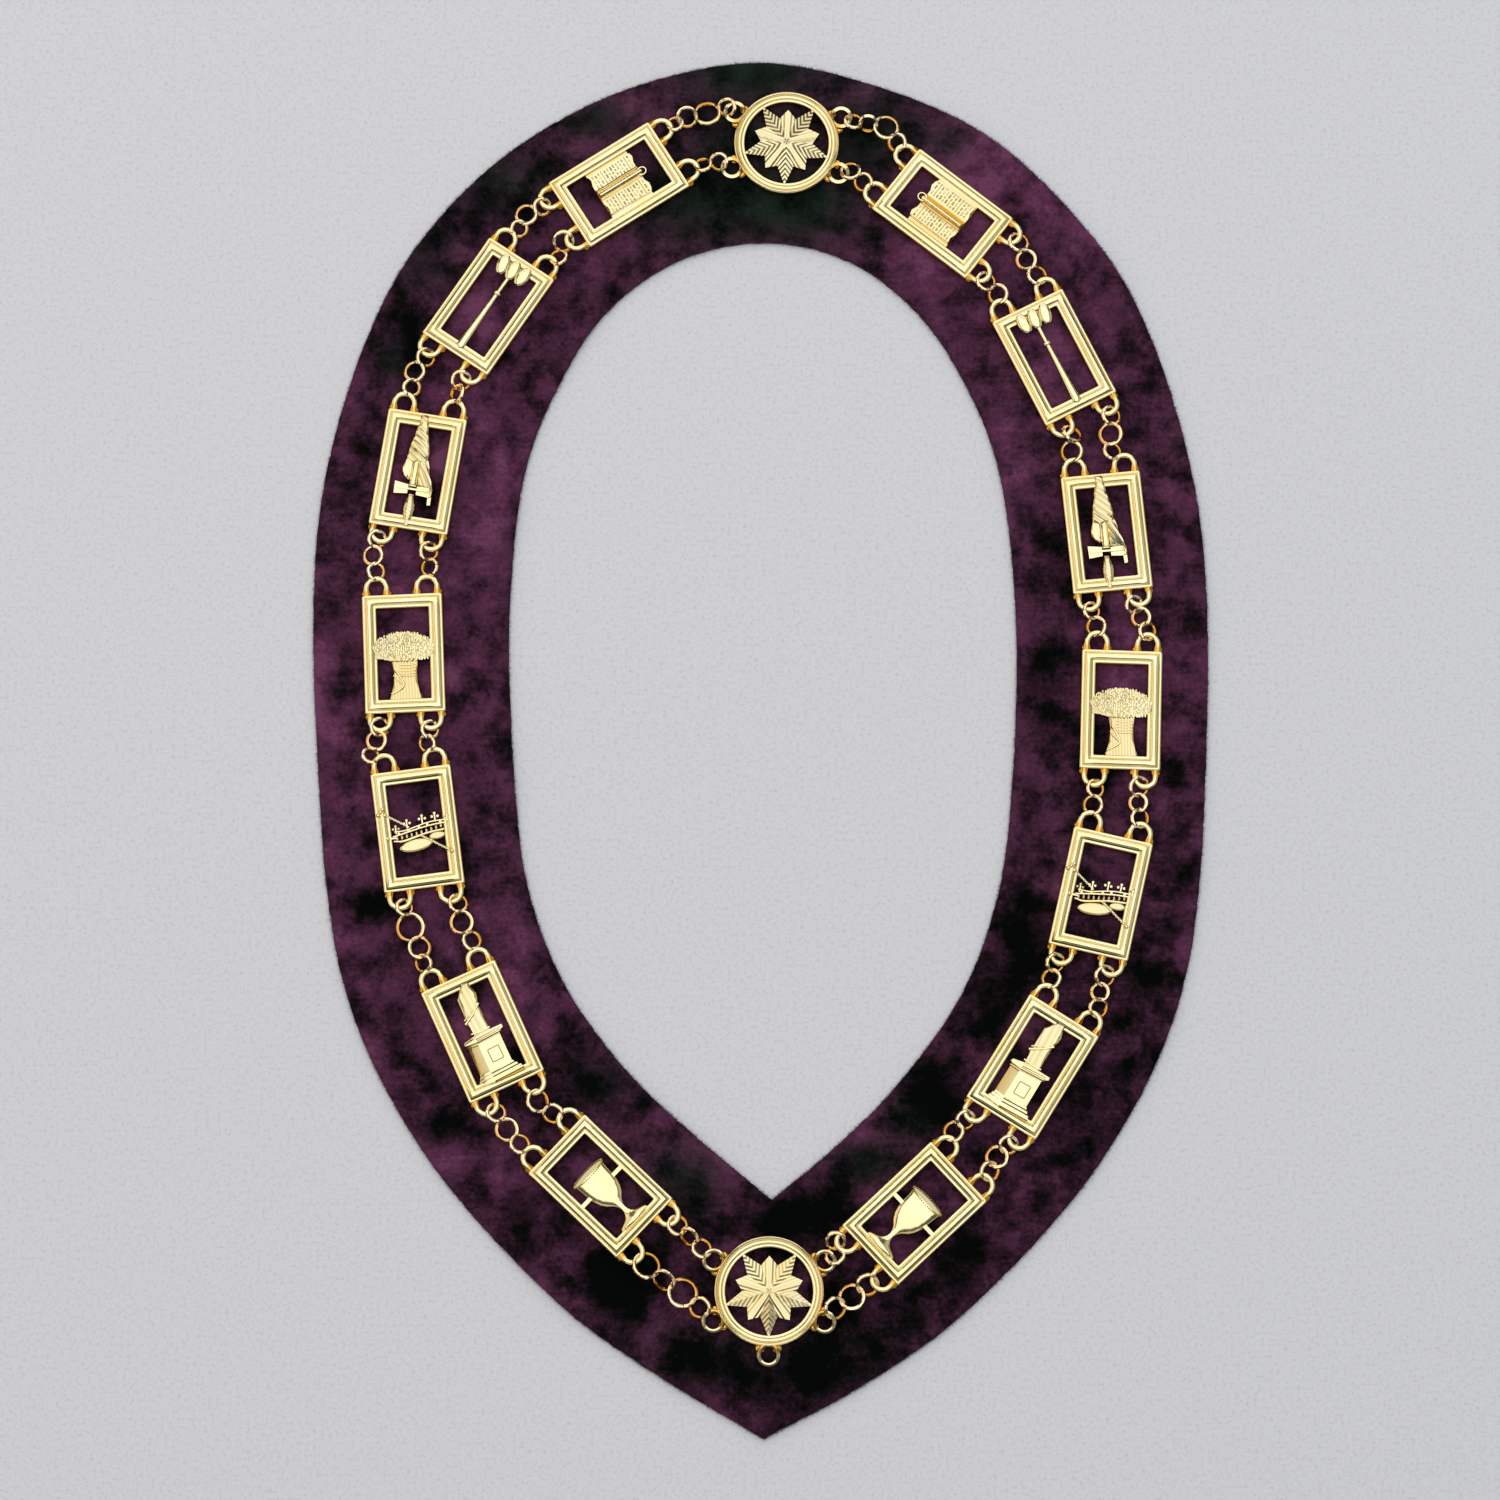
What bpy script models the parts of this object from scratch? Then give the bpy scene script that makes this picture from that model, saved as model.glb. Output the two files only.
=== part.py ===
"""Chain collar: a velvet collar that carries two star medallions and fourteen framed emblem plaques,
joined into one chain by runs of jump rings. It lies flat on its velvet.

Shapes are worked out in millimetres and scaled to metres when a piece is finished. +X is the right
side of the collar as it lies, +Y runs to the neck, and +Z is up.
"""

import math

import bmesh
import bpy
from mathutils import Matrix, Vector

MM = 0.001

# Heights above the table
VELVET_THICK = 2.0
GAP = 0.3
METAL_BASE = VELVET_THICK + GAP
FRAME_THICK = 3.6
EMBLEM_BASE = METAL_BASE + 0.8
EMBLEM_TOP = METAL_BASE + FRAME_THICK + 0.5
CHAIN_HEIGHT = 5.0

# Plaques
PLAQUE_WIDE = 30.4
PLAQUE_LONG = 45.6
FRAME_BAR = 5.5
LOOP_APART = 19.0
LOOP_OUT = 2.4

# Cast loops, which are arches of flat wire
LOOP_OUTER = 4.75
LOOP_WIRE = 1.65
LOOP_THICK = 1.1
LOOP_LEG = 3.2
LOOP_FLARE = 0.8
LOOP_SEGMENTS = 5

# Medallions
MEDALLION_OUTER = 20.0
MEDALLION_INNER = 15.3
MEDALLION_LOOP = 4.3
MEDALLION_WIRE = 1.2
MEDALLION_LEG = 4.6
MEDALLION_LOOP_REACH = 23.2
MEDALLION_LOOP_ANGLE = math.radians(28.5)
STAR_RAY = 16.3
STAR_LOBE = 12.9
STAR_VALLEY = 9.9

# Jump rings: outside diameters, and how far each lies rolled about the chain's direction
RING_WIRE = 1.0
RING_SIZES = {"s": 7.0, "m": 8.2, "b": 9.2, "l": 10.8}
RING_SIDES = {"s": 8, "m": 8, "b": 8, "l": 10}
RING_ROLLS = {"f": math.radians(16), "t": math.radians(40)}
END_RING_RISE = 2.4
END_RING_SLACK = 0.45
JOINT_WIRE = 0.7

SMOOTH_UNDER = math.radians(35)

# The velvet's edges, clockwise from the chest point to the chest point again: at each section the
# outer edge's place and the inner edge's place
VELVET_SECTIONS = (
    # outer x, outer y, inner x, inner y
    (2.0, -262.0, 5.0, -175.0),
    (-40.0, -237.0, -26.0, -149.0),
    (-73.0, -213.0, -48.0, -128.0),
    (-123.0, -158.0, -72.0, -95.0),
    (-153.0, -98.0, -86.0, -58.0),
    (-165.0, -10.0, -92.0, -7.0),
    (-165.0, 90.0, -93.5, 48.0),
    (-143.0, 166.0, -88.0, 101.0),
    (-119.0, 203.0, -77.5, 130.0),
    (-85.0, 233.0, -59.0, 161.0),
    (-44.0, 253.0, -32.0, 182.0),
    (1.0, 261.5, 1.0, 190.0),
    (46.0, 252.0, 34.0, 183.0),
    (87.0, 233.0, 61.0, 162.0),
    (120.0, 202.0, 80.0, 132.0),
    (144.0, 166.0, 91.0, 102.0),
    (166.0, 90.0, 97.0, 49.0),
    (168.0, -7.0, 96.0, -7.0),
    (157.0, -99.0, 90.0, -59.0),
    (127.0, -160.0, 76.0, -98.0),
    (76.0, -216.0, 51.0, -133.0),
    (41.0, -241.0, 29.0, -155.0),
    (2.0, -262.0, 5.0, -175.0),
)
VELVET_STEPS = 4
VELVET_EDGE = 0.6

# Where the medallions and plaques lie: centre, and clockwise turn in degrees
ELEMENTS = {
    # name: (x, y, turn)
    "medallion_neck": (11.0, 228.5, 3.0),
    "plaque_book_left": (-53.0, 212.0, 57.5),
    "plaque_gavel_left": (-102.5, 164.0, 34.0),
    "plaque_sword_left": (-128.5, 99.5, 9.0),
    "plaque_sheaf_left": (-133.0, 29.5, -2.5),
    "plaque_crown_left": (-127.0, -37.0, -7.5),
    "plaque_column_left": (-102.0, -113.0, -24.5),
    "plaque_cup_left": (-58.0, -170.0, -46.5),
    "plaque_book_right": (70.5, 200.5, -52.0),
    "plaque_gavel_right": (112.5, 144.0, -26.5),
    "plaque_sword_right": (131.5, 76.0, -5.5),
    "plaque_sheaf_right": (136.0, 8.0, 2.0),
    "plaque_crown_right": (127.5, -61.5, 13.0),
    "plaque_column_right": (101.5, -126.0, 32.0),
    "plaque_cup_right": (57.5, -180.0, 47.0),
    "medallion_chest": (4.0, -208.5, 0.5),
}
EYES = {"medallion_neck": False, "medallion_chest": True}
EMBLEMS = ("book", "gavel", "sword", "sheaf", "crown", "column", "cup")

# The runs of rings from the neck down. Each ring is a letter for its size and one for its roll, and
# bow is how far the run's middle lies outwards of the straight line between its two loops
RUNS = (
    # side, gap, strand, rings, bow
    ("left", 1, "outer", "st lf mf st", 2.6),
    ("left", 1, "inner", "mf st", 2.6),
    ("left", 2, "outer", "mt bf mt", 1.2),
    ("left", 2, "inner", "mf st", 1.8),
    ("left", 3, "outer", "mt bf mt", 1.0),
    ("left", 3, "inner", "mf mt", 2.2),
    ("left", 4, "outer", "mt mf mt", 2.0),
    ("left", 4, "inner", "bf mt", 0.2),
    ("left", 5, "outer", "sf mf st", 3.4),
    ("left", 5, "inner", "mf st", 1.8),
    ("left", 6, "outer", "mt lf bf mt", 0.2),
    ("left", 6, "inner", "bf lt mf", 0.0),
    ("left", 7, "outer", "bt lf mt", 0.4),
    ("left", 7, "inner", "bf mt", 3.4),
    ("left", 8, "outer", "lf bt lf bt", -0.3),
    ("left", 8, "inner", "mt mt mf", 0.2),
    ("right", 1, "outer", "st st lf mt", 4.2),
    ("right", 1, "inner", "mf st", 2.8),
    ("right", 2, "outer", "bt mf bf", 0.2),
    ("right", 2, "inner", "mt mf", 1.2),
    ("right", 3, "outer", "mt bf mt", -2.4),
    ("right", 3, "inner", "mt bf", 2.2),
    ("right", 4, "outer", "sf st mt", -1.6),
    ("right", 4, "inner", "mt mf", 0.6),
    ("right", 5, "outer", "mf mt mf", -2.2),
    ("right", 5, "inner", "mt bf", 0.8),
    ("right", 6, "outer", "bf mt mf", -0.4),
    ("right", 6, "inner", "mt mf", -0.9),
    ("right", 7, "outer", "mt bf mt", -2.2),
    ("right", 7, "inner", "mt mf", -1.5),
    ("right", 8, "outer", "bf lt bt", -2.4),
    ("right", 8, "inner", "st st", -4.0),
)


# Materials


def principled(name, colour, metallic, roughness):
    made = bpy.data.materials.new(name)
    made.use_nodes = True
    shader = made.node_tree.nodes["Principled BSDF"]
    shader.inputs["Base Color"].default_value = (*colour, 1.0)
    shader.inputs["Metallic"].default_value = metallic
    shader.inputs["Roughness"].default_value = roughness
    return made


# Closed solids, as bmeshes in millimetres


def plate(outline, low, high):
    """An outline in the XY plane, extruded from one height to another."""
    bm = bmesh.new()
    face = bm.faces.new([bm.verts.new((x, y, low)) for x, y in outline])
    grown = bmesh.ops.extrude_face_region(bm, geom=[face])["geom"]
    top = [item for item in grown if isinstance(item, bmesh.types.BMVert)]
    bmesh.ops.translate(bm, verts=top, vec=(0.0, 0.0, high - low))
    bmesh.ops.recalc_face_normals(bm, faces=bm.faces)
    return bm


def block(size, centre, turn):
    """A box, turned anticlockwise about its own centre."""
    bm = bmesh.new()
    place = Matrix.Translation(centre) @ Matrix.Rotation(turn, 4, "Z")
    bmesh.ops.create_cube(bm, size=1.0, matrix=place @ Matrix.Diagonal((*size, 1.0)))
    return bm


def turned(profile, sides, flat, centre):
    """A profile of (radius, distance along Y) turned about the Y axis, its depth scaled by flat."""
    bm = bmesh.new()
    points = [bm.verts.new((radius, along, 0.0)) for radius, along in profile]
    edges = [bm.edges.new(pair) for pair in zip(points, points[1:])]
    spun = {"cent": (0, 0, 0), "axis": (0, 1, 0), "angle": math.tau, "steps": sides, "use_merge": True}
    bmesh.ops.spin(bm, geom=points + edges, **spun)
    bmesh.ops.remove_doubles(bm, verts=bm.verts, dist=0.001)
    bmesh.ops.scale(bm, verts=bm.verts, vec=(1.0, 1.0, flat))
    bmesh.ops.translate(bm, verts=bm.verts, vec=centre)
    bmesh.ops.recalc_face_normals(bm, faces=bm.faces)
    return bm


def hoop(section, steps):
    """A closed section of (radius, height) turned about the Z axis."""
    bm = bmesh.new()
    points = [bm.verts.new((radius, 0.0, height)) for radius, height in section]
    edges = [bm.edges.new(pair) for pair in zip(points, points[1:] + points[:1])]
    spun = {"cent": (0, 0, 0), "axis": (0, 0, 1), "angle": math.tau, "steps": steps, "use_merge": True}
    bmesh.ops.spin(bm, geom=points + edges, **spun)
    bmesh.ops.remove_doubles(bm, verts=bm.verts, dist=0.001)
    bmesh.ops.recalc_face_normals(bm, faces=bm.faces)
    return bm


def rod(start, end, width):
    """A square bar between two points."""
    bm = bmesh.new()
    run = end - start
    place = Matrix.Translation((start + end) / 2) @ run.to_track_quat("Z", "Y").to_matrix().to_4x4()
    bmesh.ops.create_cube(bm, size=1.0, matrix=place @ Matrix.Diagonal((width, width, run.length, 1.0)))
    return bm


def joined(solids):
    """One closed mesh from closed solids that overlap."""
    scene = bpy.context.scene.collection
    others = bpy.data.collections.new("others")
    scene.children.link(others)
    helpers = []
    for solid in solids:
        mesh = bpy.data.meshes.new("solid")
        solid.to_mesh(mesh)
        solid.free()
        helpers.append(bpy.data.objects.new("solid", mesh))
    scene.objects.link(helpers[0])
    for helper in helpers[1:]:
        others.objects.link(helper)
    union = helpers[0].modifiers.new("union", "BOOLEAN")
    union.operation = "UNION"
    union.operand_type = "COLLECTION"
    union.collection = others
    bpy.context.view_layer.update()
    graph = bpy.context.evaluated_depsgraph_get()
    mesh = bpy.data.meshes.new_from_object(helpers[0].evaluated_get(graph))
    for helper in helpers:
        bpy.data.objects.remove(helper)
    bpy.data.collections.remove(others)
    return mesh


def put(name, mesh, finish, place=(0.0, 0.0), turn=0.0):
    """An object that shows a mesh, centred on a place and turned anticlockwise."""
    obj = bpy.data.objects.new(name, mesh)
    obj.location = (place[0] * MM, place[1] * MM, 0.0)
    obj.rotation_euler.z = turn
    mesh.shade_smooth()
    mesh.set_sharp_from_angle(angle=SMOOTH_UNDER)
    mesh.materials.clear()
    mesh.materials.append(finish)
    bpy.context.scene.collection.objects.link(obj)
    return obj


def in_metres(mesh):
    mesh.transform(Matrix.Scale(MM, 4))
    return mesh


# Velvet collar


def smooth_path(points, steps):
    """Points along a centripetal Catmull-Rom curve through the given ones, from first to last."""
    first = points[0] * 2 - points[1]
    last = points[-1] * 2 - points[-2]
    held = [first, *points, last]
    path = []
    for before, start, end, after in zip(held, held[1:], held[2:], held[3:]):
        t1 = (start - before).length ** 0.5
        t2 = t1 + (end - start).length ** 0.5
        t3 = t2 + (after - end).length ** 0.5
        for step in range(steps):
            t = t1 + (t2 - t1) * step / steps
            a = before.lerp(start, t / t1)
            b = start.lerp(end, (t - t1) / (t2 - t1))
            c = end.lerp(after, (t - t2) / (t3 - t2))
            path.append(a.lerp(b, t / t2).lerp(b.lerp(c, (t - t1) / (t3 - t1)), (t - t1) / (t2 - t1)))
    return path


def velvet_mesh():
    """The flat band between the outer and the inner edge, with its edges rounded over."""
    bm = bmesh.new()
    rims = []
    for column in (0, 2):
        points = [Vector((row[column], row[column + 1], 0.0)) for row in VELVET_SECTIONS]
        verts = [bm.verts.new(point) for point in smooth_path(points, VELVET_STEPS)]
        rims.append([bm.edges.new(pair) for pair in zip(verts, verts[1:] + verts[:1])])
    bmesh.ops.bridge_loops(bm, edges=rims[0] + rims[1])
    grown = bmesh.ops.extrude_face_region(bm, geom=list(bm.faces))["geom"]
    top = [item for item in grown if isinstance(item, bmesh.types.BMVert)]
    bmesh.ops.translate(bm, verts=top, vec=(0.0, 0.0, VELVET_THICK))
    bmesh.ops.recalc_face_normals(bm, faces=bm.faces)
    upper = [edge for edge in bm.edges if is_upper_rim(edge)]
    bmesh.ops.bevel(
        bm, geom=upper, offset=VELVET_EDGE, segments=1, profile=0.5, affect="EDGES", material=-1
    )
    mesh = bpy.data.meshes.new("velvet")
    bm.to_mesh(mesh)
    bm.free()
    return in_metres(mesh)


def is_upper_rim(edge):
    on_top = all(vert.co.z > VELVET_THICK / 2 for vert in edge.verts)
    return on_top and any(abs(face.normal.z) < 0.5 for face in edge.link_faces)


# Cast loops and plaques


def arch(outer, wire, leg, place, turn):
    """A loop of flat wire on two flared legs, its crown pointing along +Y before it is turned."""
    inner = outer - wire
    angles = [math.pi * step / LOOP_SEGMENTS for step in range(LOOP_SEGMENTS + 1)]
    outline = [(outer * math.cos(angle), outer * math.sin(angle)) for angle in angles]
    outline += [(-outer - LOOP_FLARE, -leg), (-inner + LOOP_FLARE / 2, -leg)]
    outline += [(inner * math.cos(angle), inner * math.sin(angle)) for angle in reversed(angles)]
    outline += [(inner - LOOP_FLARE / 2, -leg), (outer + LOOP_FLARE, -leg)]
    bm = plate(outline, CHAIN_HEIGHT - LOOP_THICK / 2, CHAIN_HEIGHT + LOOP_THICK / 2)
    matrix = Matrix.Translation((*place, 0.0)) @ Matrix.Rotation(turn, 4, "Z")
    bmesh.ops.transform(bm, verts=bm.verts, matrix=matrix)
    return bm


def plaque_loops():
    """Two loops on each short side."""
    out = PLAQUE_LONG / 2 + LOOP_OUT
    for x in (-LOOP_APART / 2, LOOP_APART / 2):
        yield arch(LOOP_OUTER, LOOP_WIRE, LOOP_LEG, (x, out), 0.0)
        yield arch(LOOP_OUTER, LOOP_WIRE, LOOP_LEG, (x, -out), math.pi)


def picture_frame():
    """A rectangular ring whose outer edge is rounded and whose inner edge is chamfered."""
    bm = bmesh.new()
    size = Matrix.Diagonal((PLAQUE_WIDE, PLAQUE_LONG, 1.0, 1.0))
    bmesh.ops.create_grid(bm, x_segments=1, y_segments=1, size=0.5, matrix=size)
    bmesh.ops.inset_region(
        bm, faces=list(bm.faces), thickness=FRAME_BAR, use_even_offset=True, use_boundary=True
    )
    window = min(bm.faces, key=lambda face: face.calc_center_median().length)
    bmesh.ops.delete(bm, geom=[window], context="FACES_ONLY")
    grown = bmesh.ops.extrude_face_region(bm, geom=list(bm.faces))["geom"]
    top = [item for item in grown if isinstance(item, bmesh.types.BMVert)]
    bmesh.ops.translate(bm, verts=top, vec=(0.0, 0.0, FRAME_THICK))
    bmesh.ops.translate(bm, verts=bm.verts, vec=(0.0, 0.0, METAL_BASE))
    bmesh.ops.recalc_face_normals(bm, faces=bm.faces)
    for outside, width, segments in ((True, 1.5, 2), (False, 0.9, 1)):
        edges = [edge for edge in bm.edges if is_top_corner(edge, outside)]
        bmesh.ops.bevel(
            bm, geom=edges, offset=width, segments=segments, profile=0.5, affect="EDGES", material=-1
        )
    return bm


def is_top_corner(edge, outside):
    """Whether an edge runs along the top of the frame's outer side, or else of its inner side."""
    on_top = all(abs(vert.co.z - METAL_BASE - FRAME_THICK) < 0.01 for vert in edge.verts)
    from_middle = max(min(abs(vert.co.x) for vert in edge.verts) / PLAQUE_WIDE,
                      min(abs(vert.co.y) for vert in edge.verts) / PLAQUE_LONG)
    is_outer = from_middle > 0.49
    return on_top and is_outer == outside and len({face.normal.z > 0.5 for face in edge.link_faces}) == 2


# Emblems, which are cast with the frame that they stand in


def book():
    """An open book whose spine runs up the plaque, its page blocks domed."""
    right = [(1.6, 5.6), (4.6, 6.4), (8.2, 6.0), (10.4, 5.0), (10.4, EMBLEM_BASE)]
    left = [(-x, height) for x, height in reversed(right)]
    bm = plate(left + right, -9.4, 8.6)
    bmesh.ops.rotate(bm, verts=bm.verts, matrix=Matrix.Rotation(math.pi / 2, 3, "X"))
    return [bm]


def gavel():
    """A gavel with a three-lobed head across the top and a long tapering handle."""
    lobe = [(0.0, 12.4), (1.6, 12.8), (2.5, 16.4), (1.6, 20.0), (0.0, 20.4)]
    handle = [(0.0, 14.0), (0.8, 13.8), (0.8, 6.8), (1.4, 5.8), (0.9, 4.8), (1.6, -18.0), (0.0, -20.6)]
    middle = EMBLEM_BASE + 1.7
    lobes = [turned(lobe, 6, 0.8, (x, 0.0, middle)) for x in (-4.3, 0.0, 4.3)]
    return [*lobes, turned(handle, 6, 0.9, (0.0, 0.0, middle))]


def sword():
    """A sword, point to the neck, with a veil wound round its blade and hanging past its guard."""
    veil = [
        (-2.4, 21.6), (0.6, 21.6), (1.6, 15.0), (3.2, 6.0), (4.6, 0.0), (6.4, -4.0),
        (6.8, -12.4), (5.2, -12.4), (4.8, -6.0), (-2.6, -6.0), (-2.8, -4.2), (-5.8, -1.8),
        (-6.0, 1.6), (-4.8, 6.0), (-3.8, 14.0),
    ]
    guard = [
        (-8.0, -4.8), (-1.8, -5.6), (1.2, -5.6), (6.2, -4.8),
        (6.2, -9.9), (1.2, -9.2), (-1.8, -9.2), (-7.8, -9.9),
    ]
    grip = [(0.0, -8.6), (1.3, -9.0), (2.4, -14.0), (1.7, -18.0), (1.2, -21.0), (0.0, -21.2)]
    return [
        plate(veil, EMBLEM_BASE, EMBLEM_TOP),
        plate(guard, EMBLEM_BASE + 0.3, EMBLEM_TOP - 0.4),
        turned(grip, 8, 0.75, (-1.0, 0.0, EMBLEM_BASE + 1.8)),
    ]


def sheaf():
    """A tied sheaf: a domed head of ears over a waisted bundle of stalks."""
    ears = [
        (-11.0, -1.6), (-5.0, -2.8), (1.0, -2.6), (7.0, -2.0), (10.8, -0.6),
        (11.0, 2.6), (8.0, 6.0), (4.0, 7.9), (-3.6, 7.9), (-8.0, 5.6), (-11.0, 4.0),
    ]
    stalks = [
        (-4.9, -2.0), (-4.1, -7.0), (-4.5, -12.0), (-6.2, -18.9),
        (7.2, -18.9), (5.6, -13.0), (4.9, -7.0), (5.6, -2.0),
    ]
    return [plate(ears, EMBLEM_BASE, EMBLEM_TOP), plate(stalks, EMBLEM_BASE, EMBLEM_TOP - 0.8)]


def crown():
    """A crown seen from a little below, with a sceptre lying through it."""
    band = [
        (-9.2, -3.4), (-6.0, -4.6), (0.0, -3.6), (5.0, -2.6), (9.4, -2.2), (10.6, 4.4), (8.2, 2.0),
        (6.6, 1.8), (5.8, 5.0), (4.6, 1.6), (2.6, 1.2), (1.6, 4.8), (0.4, 0.8), (-2.0, 0.4),
        (-3.6, 3.4), (-4.6, -0.2), (-6.2, -0.4), (-7.8, 1.8), (-8.6, -1.2), (-12.0, -1.6), (-12.0, -3.2),
    ]
    rim = [(6.8 * math.cos(a) - 0.8, 2.6 * math.sin(a) - 6.0) for a in circle(10)]
    sceptre = Vector((25.0, -18.0, 0.0))
    middle = EMBLEM_BASE + 1.0
    return [
        plate(band, EMBLEM_BASE, EMBLEM_TOP),
        plate(rim, EMBLEM_BASE + 0.2, EMBLEM_TOP - 0.8),
        block((sceptre.length, 1.1, 1.1), (-1.0, -1.0, middle), math.atan2(sceptre.y, sceptre.x)),
    ]


def column():
    """A broken column with a wreath round it, leaning on a stepped pedestal."""
    shaft = [
        (-4.0, -0.6), (-4.6, 5.0), (-4.0, 9.0), (-4.1, 14.6), (-0.4, 19.4), (2.8, 18.8),
        (3.9, 14.0), (2.8, 9.6), (2.6, 4.0), (3.2, -0.6),
    ]
    pedestal = [
        (-8.4, -2.4), (-7.2, -3.4), (-7.2, -13.6), (-9.0, -18.9), (9.2, -18.9),
        (6.0, -14.4), (5.6, -3.2), (7.7, -1.8), (7.6, -0.6), (-3.4, 0.0), (-8.2, -1.2),
    ]
    return [plate(shaft, EMBLEM_BASE, EMBLEM_TOP - 0.5), plate(pedestal, EMBLEM_BASE, EMBLEM_TOP)]


def cup():
    """A cup with a banded rim on a stem and a flared foot, pegged to both long bars."""
    bowl = [
        (0.0, -18.8), (6.6, -18.2), (6.6, -17.0), (2.0, -14.6), (0.9, -13.0), (0.9, -10.0),
        (4.2, -6.2), (5.8, -1.0), (6.6, 4.6), (7.2, 5.4), (7.0, 7.0), (0.0, 7.2),
    ]
    middle = EMBLEM_BASE + 1.7
    return [
        turned(bowl, 8, 0.33, (0.0, 0.0, middle)),
        block((22.0, 2.2, 1.6), (0.0, -0.6, middle), 0.0),
    ]


def circle(steps):
    return [math.tau * step / steps for step in range(steps)]


# Medallions


def star():
    """Five long rays, one of them to the chest, with a short lobe between each two, ridged to a peak."""
    radii = (STAR_RAY, STAR_VALLEY, STAR_LOBE, STAR_VALLEY) * 5
    down = -math.pi / 2
    outline = [
        (radius * math.cos(down + angle), radius * math.sin(down + angle))
        for radius, angle in zip(radii, circle(len(radii)))
    ]
    bm = plate(outline, EMBLEM_BASE, EMBLEM_TOP - 1.6)
    top = max(bm.faces, key=lambda face: face.calc_center_median().z)
    peak = bmesh.ops.poke(bm, faces=[top])["verts"]
    bmesh.ops.translate(bm, verts=peak, vec=(0.0, 0.0, 1.6))
    return bm


def medallion_mesh(has_pendant_eye):
    """A ring round a star, with two loops on each side, and a pendant eye below where there is one."""
    half = (MEDALLION_OUTER - MEDALLION_INNER) / 2
    middle = MEDALLION_INNER + half
    top = METAL_BASE + FRAME_THICK
    section = [
        (MEDALLION_INNER, METAL_BASE), (MEDALLION_OUTER, METAL_BASE), (MEDALLION_OUTER, top - 1.2),
        (middle + half / 2, top), (middle - half / 2, top), (MEDALLION_INNER, top - 1.2),
    ]
    solids = [hoop(section, 28), star()]
    spread = [MEDALLION_LOOP_ANGLE, -MEDALLION_LOOP_ANGLE]
    turns = spread + [math.pi + turn for turn in spread]
    if has_pendant_eye:
        turns.append(-math.pi / 2)
    for turn in turns:
        reach = MEDALLION_LOOP_REACH
        place = (reach * math.cos(turn), reach * math.sin(turn))
        solids.append(arch(MEDALLION_LOOP, MEDALLION_WIRE, MEDALLION_LEG, place, turn - math.pi / 2))
    return in_metres(joined(solids))


# Jump rings


def on_collar(name, x, y):
    """A point of a plaque or medallion, in the collar's frame."""
    centre_x, centre_y, turn = ELEMENTS[name]
    return Matrix.Rotation(-math.radians(turn), 2) @ Vector((x, y)) + Vector((centre_x, centre_y))


def loop_centre(name, side, strand, is_top):
    """The middle of one of an element's loops, and the radius of its wire's middle."""
    outwards = -1.0 if side == "left" else 1.0
    if name in EYES:
        rises = (strand == "outer") == (name == "medallion_neck")
        x = outwards * MEDALLION_LOOP_REACH * math.cos(MEDALLION_LOOP_ANGLE)
        y = MEDALLION_LOOP_REACH * math.sin(MEDALLION_LOOP_ANGLE) * (1.0 if rises else -1.0)
        return on_collar(name, x, y), MEDALLION_LOOP - MEDALLION_WIRE / 2
    x = outwards * LOOP_APART / 2 * (1.0 if strand == "outer" else -1.0)
    y = (PLAQUE_LONG / 2 + LOOP_OUT) * (1.0 if is_top else -1.0)
    return on_collar(name, x, y), LOOP_OUTER - LOOP_WIRE / 2


def ring_places(radii, loops, length, bow):
    """The rings' centres along a run from the origin to (length, 0), bowed towards +Y."""
    lean = math.atan2(4.0 * bow, length)
    reach = [
        loop + END_RING_SLACK * (radius - RING_WIRE / 2 - LOOP_WIRE / 2)
        for loop, radius in zip(loops, (radii[0], radii[-1]))
    ]
    first = Vector((reach[0] * math.cos(lean), reach[0] * math.sin(lean)))
    last = Vector((length - reach[1] * math.cos(lean), reach[1] * math.sin(lean)))
    rest = bow - (first.y + last.y) / 2
    rest = max(rest, 0.0) if bow > 0.0 else min(rest, 0.0)
    steps = [a + b - RING_WIRE for a, b in zip(radii, radii[1:])]
    centres = []
    for index in range(len(radii)):
        part = sum(steps[:index]) / sum(steps)
        centres.append(first.lerp(last, part) + Vector((0.0, 4.0 * rest * part * (1.0 - part))))
    return centres


def ring_run_mesh(rings, loops, length, bow):
    """Rings rolled about the run's direction, each two joined by a short bar from wire to wire.

    The end rings roll about the line to their loop, so that they pass over its wire on one side and
    under it on the other.
    """
    radii = [(RING_SIZES[ring[0]] - RING_WIRE) / 2 for ring in rings]
    centres = ring_places(radii, loops, length, bow)
    last = len(rings) - 1
    solids = []
    ends = []
    for index, (ring, radius, centre) in enumerate(zip(rings, radii, centres)):
        is_end = index in (0, last)
        roll = math.asin(END_RING_RISE / radius) if is_end else RING_ROLLS[ring[1]]
        height = max(CHAIN_HEIGHT, METAL_BASE + radius * math.sin(roll) + RING_WIRE / 2)
        if index == 0:
            along = centre.normalized()
        elif index == last:
            along = (Vector((length, 0.0)) - centre).normalized()
        else:
            along = (centres[index + 1] - centres[index - 1]).normalized()
        wire = RING_WIRE / 2
        section = [(radius - wire, 0.0), (radius, -wire), (radius + wire, 0.0), (radius, wire)]
        bm = hoop(section, RING_SIDES[ring[0]])
        lie = Matrix.Rotation(math.atan2(along.y, along.x), 4, "Z")
        lie = lie @ Matrix.Rotation(roll if index % 2 else -roll, 4, "X")
        middle = Vector((*centre, height))
        bmesh.ops.transform(bm, verts=bm.verts, matrix=Matrix.Translation(middle) @ lie)
        solids.append(bm)
        reach = Vector((*along, 0.0)) * radius
        ends.append((middle - reach, middle + reach))
    for (_, far), (near, _) in zip(ends, ends[1:]):
        solids.append(rod(far, near, JOINT_WIRE))
    return in_metres(joined(solids))


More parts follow.
